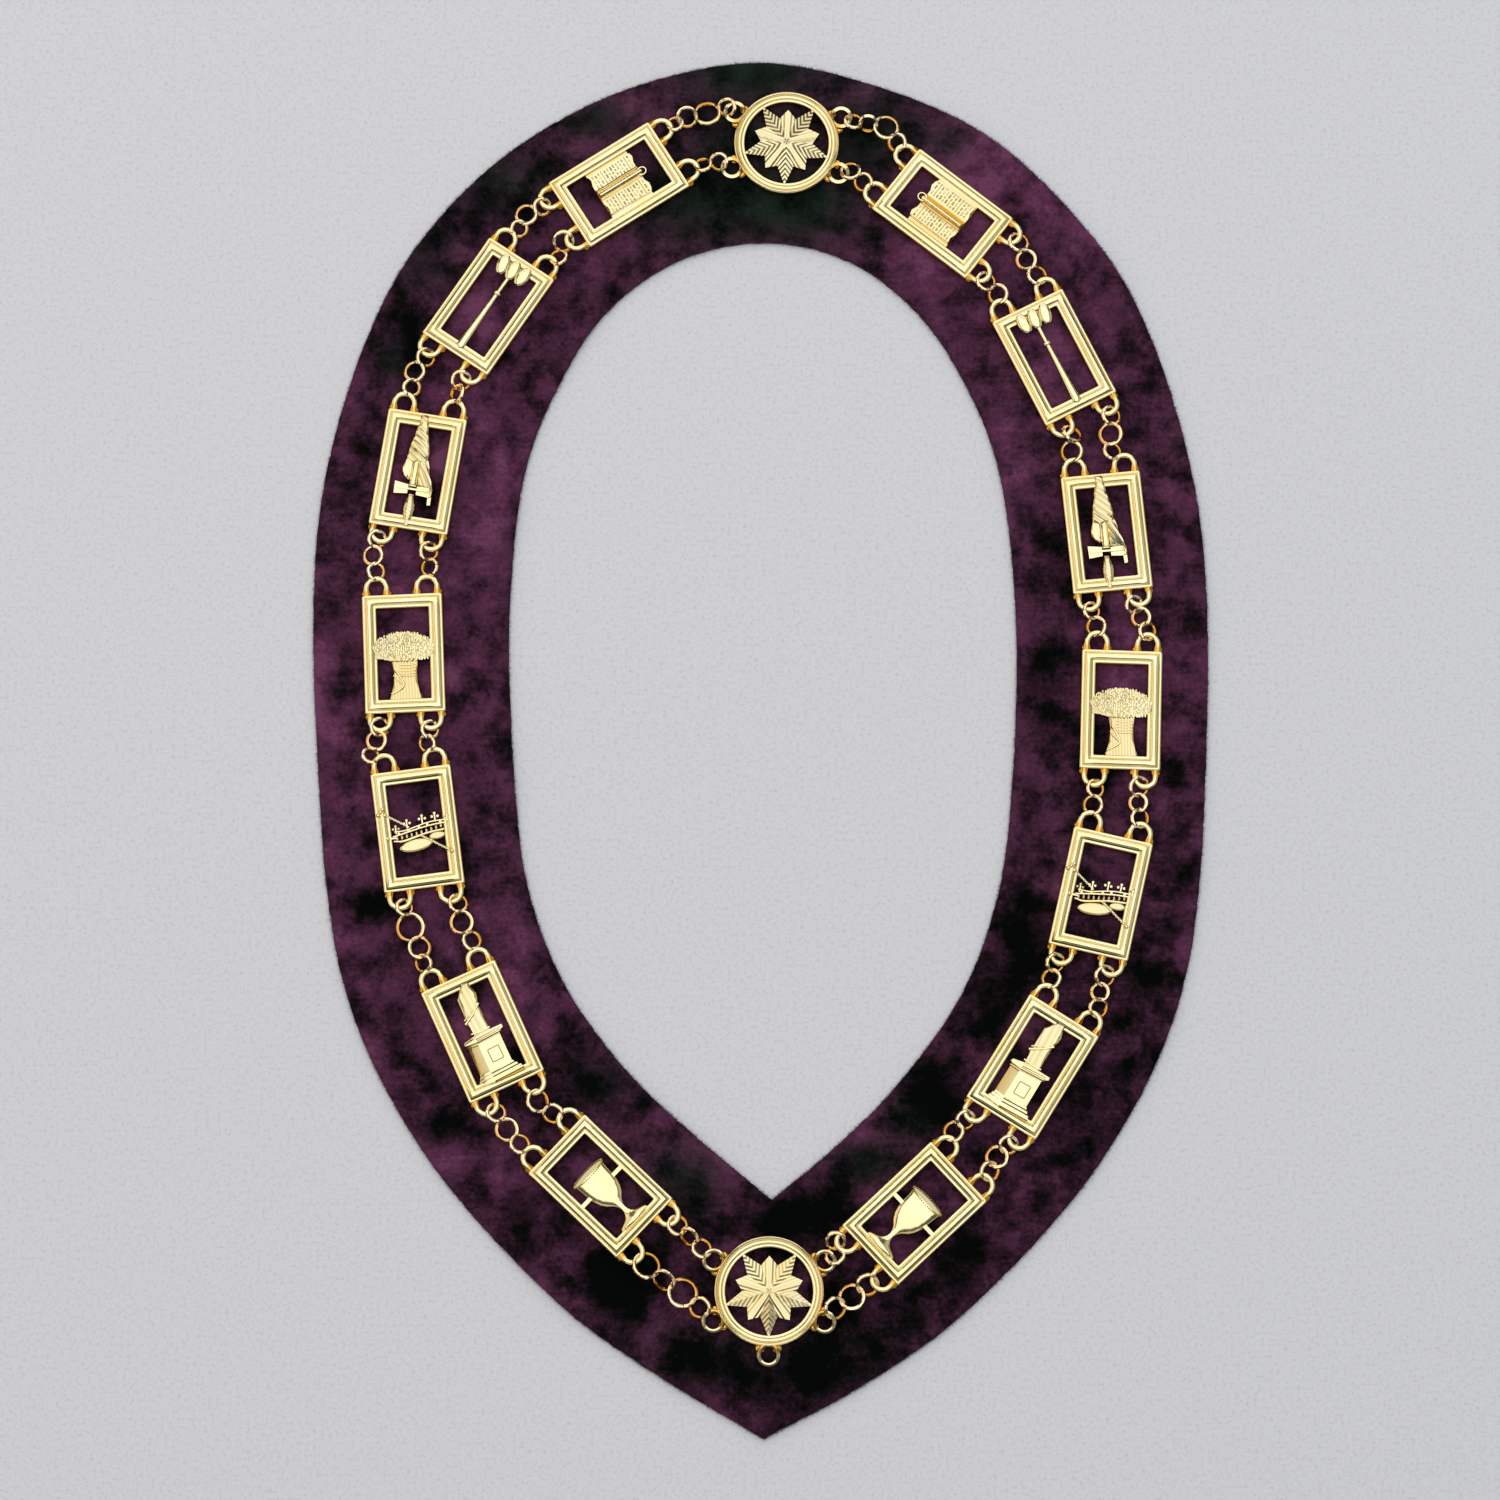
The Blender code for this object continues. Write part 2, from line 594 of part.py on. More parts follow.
def put_ring_run(side, gap, strand, rings, bow, finish):
    chain = ["medallion_neck", *(f"plaque_{emblem}_{side}" for emblem in EMBLEMS), "medallion_chest"]
    start, first_loop = loop_centre(chain[gap - 1], side, strand, is_top=False)
    end, last_loop = loop_centre(chain[gap], side, strand, is_top=True)
    run = end - start
    inwards = bow if side == "right" else -bow
    mesh = ring_run_mesh(rings.split(), (first_loop, last_loop), run.length, inwards)
    put(f"links_{side}_{gap}_{strand}", mesh, finish, start, math.atan2(run.y, run.x))


# The whole collar

for old in list(bpy.data.objects):
    bpy.data.objects.remove(old)

velvet = principled("purple_velvet", (0.045, 0.012, 0.055), 0.0, 0.9)
cast_gold = principled("cast_gold", (0.90, 0.68, 0.34), 1.0, 0.25)
ring_gold = principled("ring_gold", (0.80, 0.56, 0.28), 1.0, 0.3)

put("velvet_backing", velvet_mesh(), velvet)

plaque_meshes = {}
for emblem, make in zip(EMBLEMS, (book, gavel, sword, sheaf, crown, column, cup)):
    plaque_meshes[emblem] = in_metres(joined([picture_frame(), *plaque_loops(), *make()]))

for name, (x, y, turn) in ELEMENTS.items():
    if name in EYES:
        mesh = medallion_mesh(has_pendant_eye=EYES[name])
    else:
        mesh = plaque_meshes[name.split("_")[1]]
    put(name, mesh, cast_gold, (x, y), -math.radians(turn))

for side, gap, strand, rings, bow in RUNS:
    put_ring_run(side, gap, strand, rings, bow, ring_gold)
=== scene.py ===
# %% [markdown]
# # Chain collar
# A ceremonial collar lies face up on a pale board: a flat band of crushed velvet, cut to an oval
# with a point at the chest, and on it a double chain of gilt castings. Two round medallions and
# fourteen framed emblem plaques are joined by runs of jump rings.
#
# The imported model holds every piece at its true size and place, as plain solids. This lesson gives
# each of them its finished shape and surface. Shapes are worked out in millimetres, and scaled to
# metres when a piece is finished.

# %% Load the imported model
import math
import random

import bmesh
import bpy
from mathutils import Matrix, Vector, kdtree, noise


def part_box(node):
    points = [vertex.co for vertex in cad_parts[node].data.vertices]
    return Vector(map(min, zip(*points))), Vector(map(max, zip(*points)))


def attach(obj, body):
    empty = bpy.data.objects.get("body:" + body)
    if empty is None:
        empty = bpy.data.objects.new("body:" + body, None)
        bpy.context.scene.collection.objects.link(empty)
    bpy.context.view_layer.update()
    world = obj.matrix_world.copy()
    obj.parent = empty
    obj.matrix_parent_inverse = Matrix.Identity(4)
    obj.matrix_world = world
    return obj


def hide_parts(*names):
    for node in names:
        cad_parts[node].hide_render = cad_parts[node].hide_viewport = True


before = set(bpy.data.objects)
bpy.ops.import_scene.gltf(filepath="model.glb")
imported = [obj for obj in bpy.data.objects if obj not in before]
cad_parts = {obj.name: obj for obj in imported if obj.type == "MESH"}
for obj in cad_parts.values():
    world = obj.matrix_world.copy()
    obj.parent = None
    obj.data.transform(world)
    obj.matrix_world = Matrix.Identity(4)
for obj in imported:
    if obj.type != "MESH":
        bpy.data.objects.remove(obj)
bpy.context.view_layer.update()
MM = 0.001
print("CAD pieces:", len(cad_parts))

# %% [markdown]
# ## Camera
# The collar lies on a table and is looked at from nearly straight above. A long lens from 1.7 m
# away keeps the two ends of the band at almost one scale.

# %% Camera
CAMERA_TILT = math.radians(9.67)
CAMERA_DISTANCE = 1.68
CAMERA_AIM = Vector((-0.003, -0.0065, 0.0))
CAMERA_LENS = 107.5

camera = bpy.data.objects.new("camera", bpy.data.cameras.new("camera"))
camera.data.lens = CAMERA_LENS
camera.data.sensor_width = 36.0
away = Vector((0.0, -math.sin(CAMERA_TILT), math.cos(CAMERA_TILT)))
camera.location = CAMERA_AIM + CAMERA_DISTANCE * away
camera.rotation_euler = (CAMERA_TILT, 0.0, 0.0)
bpy.context.scene.collection.objects.link(camera)
bpy.context.scene.camera = camera
print("camera at", [round(value, 3) for value in camera.location])

# %% [markdown]
# ## Light
# Polished gold shows what is round it, so the light is a set of large plain panels. One overhead
# and one beyond the neck make every level face bright. A warm panel at the left gives the slopes
# that face it a peach tone, and dimmer ones at the right and behind the viewer keep the other
# slopes quieter. Each panel is given its brightness, and its power follows from its area, so a
# panel can be made larger without changing how it looks in gold.

# %% Light
PANELS = (
    # name, place in metres, width, length, brightness, tint
    ("overhead", (0.0, 0.2, 1.9), 2.8, 3.2, 1.24, (1.0, 1.0, 1.0)),
    ("beyond", (0.0, 2.0, 1.0), 3.0, 1.2, 1.1, (1.0, 0.97, 0.92)),
    ("left", (-1.9, 0.0, 0.95), 2.8, 1.4, 0.95, (1.0, 0.80, 0.60)),
    ("right", (1.9, 0.0, 0.95), 2.8, 1.3, 0.42, (0.97, 1.0, 0.88)),
    ("near", (0.0, -2.0, 0.85), 2.6, 1.0, 0.5, (1.0, 0.98, 0.88)),
)
for name, place, width, length, brightness, tint in PANELS:
    panel = bpy.data.lights.new(name, "AREA")
    panel.color = tint
    panel.shape = "RECTANGLE"
    panel.size = width
    panel.size_y = length
    panel.energy = brightness * math.pi * width * length
    holder = bpy.data.objects.new(name, panel)
    holder.location = place
    holder.rotation_euler = Vector(place).to_track_quat("Z", "Y").to_euler()
    bpy.context.scene.collection.objects.link(holder)

world = bpy.data.worlds.new("studio")
world.use_nodes = True
surroundings = world.node_tree.nodes["Background"]
surroundings.inputs["Color"].default_value = (0.95, 0.97, 1.0, 1.0)
surroundings.inputs["Strength"].default_value = 0.10
bpy.context.scene.world = world
bpy.context.scene.view_settings.view_transform = "Standard"
print("panels:", len(PANELS))

# %% [markdown]
# ## Materials
# Each finish is a small tree of nodes. One helper makes the shader and sets what is the same all
# over the surface. Another makes a node and joins its inputs, so that a tree reads as a list.


# %% Material helpers
def finish(name, **sockets):
    """A material, its node tree and its shader, with the shader's named sockets set."""
    material = bpy.data.materials.new(name)
    material.use_nodes = True
    tree = material.node_tree
    shader = tree.nodes["Principled BSDF"]
    for socket, value in sockets.items():
        shader.inputs[socket.replace("_", " ")].default_value = value
    return material, tree, shader


def node(tree, kind, output, inputs=(), **settings):
    """The named output of a new node. Its inputs are (socket, value or other output) pairs."""
    made = tree.nodes.new("ShaderNode" + kind)
    for setting, value in settings.items():
        setattr(made, setting, value)
    for socket, value in inputs:
        if isinstance(value, bpy.types.NodeSocket):
            tree.links.new(value, made.inputs[socket])
        else:
            made.inputs[socket].default_value = value
    return made.outputs[output]


def ramp(tree, factor, *stops):
    """A colour ramp through (place, colour) stops."""
    made = tree.nodes.new("ShaderNodeValToRGB")
    tree.links.new(factor, made.inputs["Fac"])
    elements = made.color_ramp.elements
    while len(elements) < len(stops):
        elements.new(0.5)
    for element, (place, colour) in zip(elements, stops):
        element.position = place
        element.color = (*colour, 1.0)
    return made.outputs["Color"]


def cloud(tree, place, scale, detail=3.0, roughness=0.5):
    """Noise in patches about 1 / scale metres across."""
    inputs = [("Vector", place), ("Scale", scale), ("Detail", detail), ("Roughness", roughness)]
    return node(tree, "TexNoise", "Fac", inputs)


def ranged(tree, value, low, high, to_low=0.0, to_high=1.0):
    """A value stretched from one range to another, and held at its ends."""
    ends = [("From Min", low), ("From Max", high), ("To Min", to_low), ("To Max", to_high)]
    return node(tree, "MapRange", "Result", [("Value", value), *ends])


def bumped(tree, height, strength, distance, *under):
    """A bump, its distance in metres, over another one if that is given."""
    inputs = [("Height", height), ("Strength", strength), ("Distance", distance)]
    inputs += [("Normal", normal) for normal in under]
    return node(tree, "Bump", "Normal", inputs)


def blended(tree, factor, first, second):
    """One colour over another by a factor."""
    made = tree.nodes.new("ShaderNodeMix")
    made.data_type = "RGBA"
    tree.links.new(factor, made.inputs["Factor"])
    for socket, value in ((made.inputs[6], first), (made.inputs[7], second)):
        if isinstance(value, bpy.types.NodeSocket):
            tree.links.new(value, socket)
        else:
            socket.default_value = (*value, 1.0)
    return made.outputs[2]


# %% [markdown]
# ## Gold
# The castings are gilt and polished by hand. Their upper faces are bright, and a deeper gold is painted
# lower down as shade in the recesses and under things: height above the table is on the Object
# coordinates, and a range on it paints that shade. Two attributes on the points add to it: one paints
# the deep gold as shade higher up, on a root or the side of a loop, and one paints a dark colour in
# grooves and lines too fine for a range, partly patina and partly painted shade and dark reflection.
# The rings are drawn wire with a redder plating, their lower halves painted in the deeper gold.


# %% Gold
def gold_finish(name, colour, deep, low, dark, gloss, heights):
    """Gilding: colour and deep in soft patches, low painted in the recesses and lower parts as shade, and
    dark painted where patina and shade lie.
    """
    material, tree, shader = finish(name, Metallic=1.0, Specular_Tint=(1.0, 0.74, 0.40, 1.0))
    place = node(tree, "TexCoord", "Object")
    patches = ramp(tree, cloud(tree, place, 60.0), (0.35, deep), (0.65, colour))
    # Painted shade: below the given heights the colour turns to low, for the shade in recesses and under
    # things.
    height = node(tree, "SeparateXYZ", "Z", [("Vector", place)])
    high = ranged(tree, height, heights[0] * MM, heights[1] * MM)
    recess_shade = node(tree, "Attribute", "Fac", attribute_name="recess_shade")
    unshaded = node(
        tree, "Math", "Value", [(0, high), (1, recess_shade)], operation="SUBTRACT", use_clamp=True
    )
    low_to_face = blended(tree, unshaded, low, patches)
    # The dark colour is painted where there is patina and where there is shade or a dark reflection.
    patina_and_shade = node(tree, "Attribute", "Fac", attribute_name="patina_and_shade")
    tree.links.new(blended(tree, patina_and_shade, low_to_face, dark), shader.inputs["Base Color"])
    grain = cloud(tree, place, 900.0)
    tree.links.new(ranged(tree, grain, 0.3, 0.7, *gloss), shader.inputs["Roughness"])
    uneven = bumped(tree, cloud(tree, place, 260.0, 2.0), 0.15, 0.0004)
    tree.links.new(bumped(tree, grain, 0.1, 0.0001, uneven), shader.inputs["Normal"])
    return material


cast_gold = gold_finish(
    "cast_gold", (0.95, 0.84, 0.51), (0.93, 0.78, 0.41), (0.80, 0.46, 0.08), (0.05, 0.05, 0.008),
    gloss=(0.10, 0.20), heights=(3.8, 5.0),
)
# On a ring the low colour paints its lower half, as the shade under it.
ring_gold = gold_finish(
    "ring_gold", (1.0, 0.84, 0.56), (0.98, 0.74, 0.40), (0.60, 0.29, 0.05), (0.22, 0.13, 0.05),
    gloss=(0.08, 0.18), heights=(4.3, 5.7),
)
print("gold finishes:", cast_gold.name, ring_gold.name)

# %% [markdown]
# ## Small helpers
# A finished piece's object sits at the origin with its place in its mesh, so one helper takes a
# bmesh in millimetres and makes such an object. A casting is many closed shapes that run into each
# other, and a second helper gathers them into one bmesh.


# %% Helpers that gather and finish
def gathered(shapes):
    """One bmesh that holds all the given ones, which are used up."""
    whole = bmesh.new()
    whole.verts.layers.float.new("patina_and_shade")
    whole.verts.layers.float.new("recess_shade")
    for shape in shapes:
        held = bpy.data.meshes.new("held")
        shape.to_mesh(held)
        shape.free()
        whole.from_mesh(held)
        bpy.data.meshes.remove(held)
    return whole


def marked(shape, attribute, amount):
    """The shape with an attribute on its points. Amount gives it, from 0 to 1, at a point."""
    layer = shape.verts.layers.float.new(attribute)
    for vert in shape.verts:
        vert[layer] = max(0.0, min(1.0, amount(vert.co)))
    return shape


def darkened(shape, amount):
    """The shape darkened all over, from 0 to 1: patina on some pieces, painted shade on others."""
    return marked(shape, "patina_and_shade", lambda point: amount)


def moved(shape, x=0.0, y=0.0, z=0.0, turn=0.0):
    """The shape, turned anticlockwise by some degrees and then moved."""
    matrix = Matrix.Translation((x, y, z)) @ Matrix.Rotation(math.radians(turn), 4, "Z")
    bmesh.ops.transform(shape, verts=shape.verts, matrix=matrix)
    return shape


def closed(shape):
    """The shape with doubled points merged and its faces pointing out."""
    bmesh.ops.remove_doubles(shape, verts=shape.verts, dist=0.0005)
    bmesh.ops.recalc_face_normals(shape, faces=shape.faces)
    return shape


def finished(name, shape, material, smooth_under=38.0):
    """An object in metres, at the origin, from a bmesh in millimetres."""
    bmesh.ops.scale(shape, verts=shape.verts, vec=(MM, MM, MM))
    mesh = bpy.data.meshes.new(name)
    shape.to_mesh(mesh)
    shape.free()
    mesh.shade_smooth()
    mesh.set_sharp_from_angle(angle=math.radians(smooth_under))
    mesh.materials.append(material)
    piece = bpy.data.objects.new(name, mesh)
    bpy.context.scene.collection.objects.link(piece)
    return piece


def in_place(piece, node_name):
    """Stands a piece for a CAD node."""
    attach(piece, "root")
    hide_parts(node_name)


# %% [markdown]
# The shapes come from a few operators that are used again and again with the same settings: points
# joined in a row, a profile spun about an axis, an edge rounded, a shape cut along a plane. A
# helper for each keeps its settings in one place.


# %% Helpers that shape
def turns(steps):
    """Angles that go evenly once round."""
    return [math.tau * step / steps for step in range(steps)]


def points_in(geom):
    """The points among what an operator returns."""
    return [item for item in geom if isinstance(item, bmesh.types.BMVert)]


def joined(bm, points, closes=True):
    """Edges from each point to the next, and from the last to the first if it closes."""
    following = points[1:] + points[:1] if closes else points[1:]
    return [bm.edges.new(pair) for pair in zip(points, following)]


def spun(bm, geom, axis, steps, angle=math.tau):
    """Turns a profile about an axis through the origin. A full turn is merged into a ring."""
    is_full = angle == math.tau
    bmesh.ops.spin(
        bm, geom=geom, cent=(0, 0, 0), axis=axis, angle=angle, steps=steps, use_merge=is_full
    )


def rounded(bm, edges, offset, segments, clamp=False):
    """Rounds off some edges."""
    bmesh.ops.bevel(
        bm, geom=edges, offset=offset, segments=segments, profile=0.5, affect="EDGES",
        material=-1, clamp_overlap=clamp,
    )


def sliced(bm, place, across):
    """Cuts a shape's faces along a plane, and returns the new points."""
    geom = bm.verts[:] + bm.edges[:] + bm.faces[:]
    cut = bmesh.ops.bisect_plane(bm, geom=geom, plane_co=place, plane_no=across, dist=0.0001)
    return points_in(cut["geom_cut"])


# %% [markdown]
# ## Board
# The collar lies on a sheet of pale grey board with a fine speckle. The sheet runs far past the
# collar on every side, and lies a hair lower so that the two don't share a plane. Its far edge is in
# view only from low down.

# %% Board
BOARD_HALF = 4000.0
BOARD_GAP = 0.05


def board_finish():
    material, tree, shader = finish("grey_board", Roughness=0.9, Specular_IOR_Level=0.2)
    place = node(tree, "TexCoord", "Object")
    speckle = cloud(tree, place, 700.0, 5.0, 0.75)
    tone = ramp(tree, speckle, (0.30, (0.57, 0.583, 0.635)), (0.5, (0.722, 0.738, 0.785)))
    tree.links.new(tone, shader.inputs["Base Color"])
    grit = bumped(tree, cloud(tree, place, 1500.0), 0.3, 0.0002)
    tree.links.new(grit, shader.inputs["Normal"])
    return material


board = bmesh.new()
bmesh.ops.create_grid(board, x_segments=1, y_segments=1, size=BOARD_HALF)
moved(board, z=-BOARD_GAP)
finished("board", board, board_finish())

# %% [markdown]
# ## Velvet
# The band is one piece of crushed velvet. Its two edges are smooth curves through a few measured
# sections, and a bridge of faces between them is cut finely enough to hold the lie of the cloth.

# %% Velvet outline
VELVET_THICK = 2.0
VELVET_SECTIONS = (
    # outer x, outer y, inner x, inner y
    (2.0, -262.0, 5.0, -175.0),
    (-40.0, -237.0, -26.0, -149.0),
    (-73.0, -213.0, -48.0, -128.0),
    (-123.0, -158.0, -72.0, -95.0),
    (-153.0, -98.0, -86.0, -58.0),
    (-165.0, -10.0, -92.0, -7.0),
    (-165.0, 90.0, -93.5, 48.0),
    (-143.0, 166.0, -88.0, 101.0),
    (-119.0, 203.0, -77.5, 130.0),
    (-85.0, 233.0, -59.0, 161.0),
    (-44.0, 253.0, -32.0, 182.0),
    (1.0, 261.5, 1.0, 190.0),
    (46.0, 252.0, 34.0, 183.0),
    (87.0, 233.0, 61.0, 162.0),
    (120.0, 202.0, 80.0, 132.0),
    (144.0, 166.0, 91.0, 102.0),
    (166.0, 90.0, 97.0, 49.0),
    (168.0, -7.0, 96.0, -7.0),
    (157.0, -99.0, 90.0, -59.0),
    (127.0, -160.0, 76.0, -98.0),
    (76.0, -216.0, 51.0, -133.0),
    (41.0, -241.0, 29.0, -155.0),
    (2.0, -262.0, 5.0, -175.0),
)
VELVET_STEPS = 30


def smooth_path(points, steps):
    """Points along a centripetal Catmull-Rom curve through the given ones, from first to last."""
    first = points[0] * 2 - points[1]
    last = points[-1] * 2 - points[-2]
    held = [first, *points, last]
    path = []
    for before, start, end, after in zip(held, held[1:], held[2:], held[3:]):
        t1 = (start - before).length ** 0.5
        t2 = t1 + (end - start).length ** 0.5
        t3 = t2 + (after - end).length ** 0.5
        for step in range(steps):
            t = t1 + (t2 - t1) * step / steps
            a = before.lerp(start, t / t1)
            b = start.lerp(end, (t - t1) / (t2 - t1))
            c = end.lerp(after, (t - t2) / (t3 - t2))
            near, far = a.lerp(b, t / t2), b.lerp(c, (t - t1) / (t3 - t1))
            path.append(near.lerp(far, (t - t1) / (t2 - t1)))
    return path


def velvet_edge(column):
    """The outer edge for column 0 and the inner edge for column 2, clockwise from the chest."""
    points = [Vector((row[column], row[column + 1], 0.0)) for row in VELVET_SECTIONS]
    return smooth_path(points, VELVET_STEPS)


outer_edge, inner_edge = velvet_edge(0), velvet_edge(2)
edge_tree = kdtree.KDTree(len(outer_edge) + len(inner_edge))
for index, point in enumerate(outer_edge + inner_edge):
    edge_tree.insert(point, index)
edge_tree.balance()
print("points on each edge:", len(outer_edge))

# %% [markdown]
# The cloth is cut by hand, so its edges waver by a fraction of a millimetre, and it doesn't lie
# quite dead on the board: towards its edges it lifts a little here and there. Both are moves of
# the band's own points by smooth noise.

# %% Velvet band
VELVET_CUTS = 36
VELVET_EDGE = 0.7
UNEVEN = 0.15
EDGE_WAVER = 0.35
EDGE_LIFT = 0.9
LIFT_REACH = 14.0


def on_velvet(point, scale, seed):
    """Smooth noise over the cloth, from about -1 to 1. A small scale makes it broad."""
    return noise.noise(Vector((point.x * scale, point.y * scale, seed)))


def velvet_lift(point):
    """How far the cloth stands off the board at a point."""
    _, _, distance = edge_tree.find(Vector((point.x, point.y, 0.0)))
    near_edge = max(0.0, 1.0 - distance / LIFT_REACH) ** 2
    return EDGE_LIFT * near_edge * max(0.0, on_velvet(point, 0.03, 4.0))


def velvet_band():
    bm = bmesh.new()
    rims = []
    for points in (outer_edge, inner_edge):
        verts = [bm.verts.new(point) for point in points]
        rims.append(joined(bm, verts))
    rungs = bmesh.ops.bridge_loops(bm, edges=rims[0] + rims[1])["edges"]
    bmesh.ops.subdivide_edges(bm, edges=rungs, cuts=VELVET_CUTS, use_grid_fill=True)
    for vert in bm.verts:
        if vert.is_boundary:
            place = vert.co.copy()
            vert.co.x += EDGE_WAVER * on_velvet(place, 0.35, 1.0)
            vert.co.y += EDGE_WAVER * on_velvet(place, 0.35, 2.0)
    for vert in points_in(bmesh.ops.extrude_face_region(bm, geom=list(bm.faces))["geom"]):
        vert.co.z = VELVET_THICK + UNEVEN * on_velvet(vert.co, 0.08, 3.0)
    bmesh.ops.recalc_face_normals(bm, faces=bm.faces)
    rim = {edge for face in bm.faces if abs(face.normal.z) < 0.5 for edge in face.edges}
    middle = VELVET_THICK / 2
    upper = [edge for edge in rim if min(vert.co.z for vert in edge.verts) > middle]
    rounded(bm, upper, VELVET_EDGE, 2)
    for vert in bm.verts:
        vert.co.z += velvet_lift(vert.co)
    return bm


# %% [markdown]
# Crushed velvet shows its pile by how it leans: patches that lean away from the light are almost
# black, and those that lean towards it are a bright purple. This shade and sheen are painted into the
# colour: a table charts the broad patches, and each point of the mesh keeps the sum as an attribute.
# A second chart paints a grey sheen, round the neck most of all, and gives back a dull grey in place
# of purple. The shader adds the finer mottle and the faint rows of the weave to the painted tone.

# %% Velvet nap
NAP_SHADE_PATCHES = (
    # x, y, reach in x, reach in y, lean: below 0 is painted shade, away from the light, above 0 is painted
    # sheen, towards it
    (-18, 220, 22, 26, -0.5), (38, 228, 14, 14, -0.5), (-84, 225, 20, 14, -0.3),
    (-105, 203, 24, 16, -0.45), (-135, 155, 14, 22, -0.6), (-146, 106, 6, 6, -0.5),
    (112, 68, 12, 18, -0.6), (108, 18, 9, 20, -0.6), (127, -10, 11, 12, -0.55),
    (156, -16, 8, 8, -0.35), (120, -28, 10, 8, -0.4), (158, -54, 8, 10, -0.45),
    (97, -74, 10, 22, -1.0), (88, -100, 12, 16, -0.8), (66, -138, 14, 16, -1.0),
    (144, -98, 10, 12, -0.5), (118, -140, 18, 30, -0.4), (75, -198, 14, 20, -0.6),
    (8, -184, 18, 12, -1.1), (27, -178, 12, 12, -0.9), (-52, -206, 14, 12, -1.2),
    (-40, -196, 14, 8, -0.8), (-18, -236, 18, 10, -1.0), (22, -238, 22, 12, -1.1),
    (30, -212, 12, 14, -0.8), (-144, -64, 9, 8, -0.9), (-114, -146, 12, 10, -0.6),
    (-74, -130, 16, 18, -0.6), (-96, -136, 8, 8, -0.35), (-72, -186, 9, 9, -0.5),
    (130, -110, 32, 70, -0.2),
    (-50, 244, 14, 8, 0.6), (-60, 198, 8, 8, 0.5), (-108, 162, 10, 12, 0.7),
    (-112, 130, 12, 10, 0.4), (-120, 104, 8, 8, 0.9), (-102, 85, 12, 26, 0.5),
    (-130, 55, 22, 14, 0.5), (-166, 15, 8, 24, 0.7), (-120, 20, 8, 8, 0.6),
    (84, 215, 16, 26, 0.8), (66, 185, 14, 12, 0.5), (125, 197, 12, 10, 0.6),
    (112, 145, 14, 14, 0.4), (100, 102, 10, 8, 0.5), (138, 28, 12, 18, 0.55),
    (96, -112, 6, 6, 0.5), (40, -150, 7, 7, 0.6), (-14, -160, 8, 8, 0.35),
    (-92, -98, 12, 22, 0.5), (-108, -112, 8, 8, 0.7), (-144, -124, 8, 10, 0.6),
    (-156, -82, 7, 12, 0.4), (-120, -160, 9, 9, 0.4), (-96, -166, 9, 9, 0.45),
    (-40, -228, 9, 8, 0.3), (-12, -256, 6, 5, 0.5),
    (54, -218, 14, 12, -0.4), (4, -252, 14, 9, -0.4), (-84, -182, 11, 11, -0.25),
    (100, -180, 12, 12, -0.25), (-128, 180, 12, 9, -0.25), (-56, -138, 14, 12, -0.3),
    (-42, -222, 14, 11, -0.2), (-72, -204, 11, 9, -0.2), (-72, 144, 10, 10, -0.25),
    (-96, 72, 9, 9, -0.2), (-132, -108, 10, 10, -0.2), (-156, -36, 8, 10, -0.2),
    (36, 204, 10, 9, -0.2), (168, 60, 8, 10, -0.2), (60, 180, 8, 8, -0.15),
    (114, 42, 12, 10, -0.2), (-72, -108, 9, 9, -0.15), (156, 84, 10, 9, -0.2),
    (-108, -12, 9, 12, -0.15),
    (96, 78, 12, 13, 0.4), (-144, -54, 12, 13, 0.4), (146, 104, 14, 14, 0.25),
    (164, 6, 9, 13, 0.25), (108, 120, 12, 11, 0.25), (-132, 72, 12, 9, 0.25),
    (132, 144, 11, 11, 0.25), (-36, 240, 10, 8, 0.2), (-144, 156, 8, 10, 0.25),
    (120, -162, 12, 12, 0.25), (-120, -84, 10, 9, 0.25), (-108, 36, 9, 12, 0.2),
    (108, -60, 10, 12, 0.25), (-132, 0, 9, 9, 0.2), (132, -108, 10, 9, 0.2),
    (84, -108, 8, 9, 0.2), (-72, 228, 10, 8, 0.2),
    (-72, -124, 9, 10, 0.3), (-108, -68, 10, 12, 0.3), (-36, -144, 9, 8, 0.35),
    (-120, 60, 9, 10, 0.25), (108, 64, 10, 11, 0.3), (-96, -156, 10, 9, 0.25),
    (-72, 180, 9, 9, 0.25), (108, 180, 10, 9, 0.25), (-154, -68, 8, 11, 0.25),
    (54, -216, 11, 9, -0.35), (144, 130, 11, 9, -0.3), (-108, 84, 8, 8, -0.25),
    (-132, -132, 10, 9, -0.25), (-62, 240, 9, 7, -0.25), (-108, -170, 10, 9, -0.2),
    (-108, -146, 6, 6, -0.3), (156, -48, 8, 9, -0.25), (156, 120, 8, 8, -0.2),
    (-56, -130, 8, 8, -0.5), (56, -145, 9, 8, -0.45), (40, -161, 10, 8, -0.6),
    (-28, -175, 13, 9, -0.7), (-56, -225, 9, 7, -0.35), (-28, -226, 12, 8, -0.4),
    (40, -225, 9, 8, -0.4), (56, -177, 9, 9, -0.3), (-88, -177, 8, 8, -0.35),
    (6, 256, 12, 7, -0.45), (40, 240, 9, 8, -0.35), (-24, 207, 11, 8, -0.3),
    (-104, 208, 9, 8, -0.3), (88, 208, 10, 9, -0.3), (-136, 144, 8, 8, -0.3),
    (-152, 144, 7, 8, 0.3), (-74, 222, 8, 8, 0.35), (-104, 192, 8, 8, 0.35),
    (44, 194, 9, 8, -0.25),
)
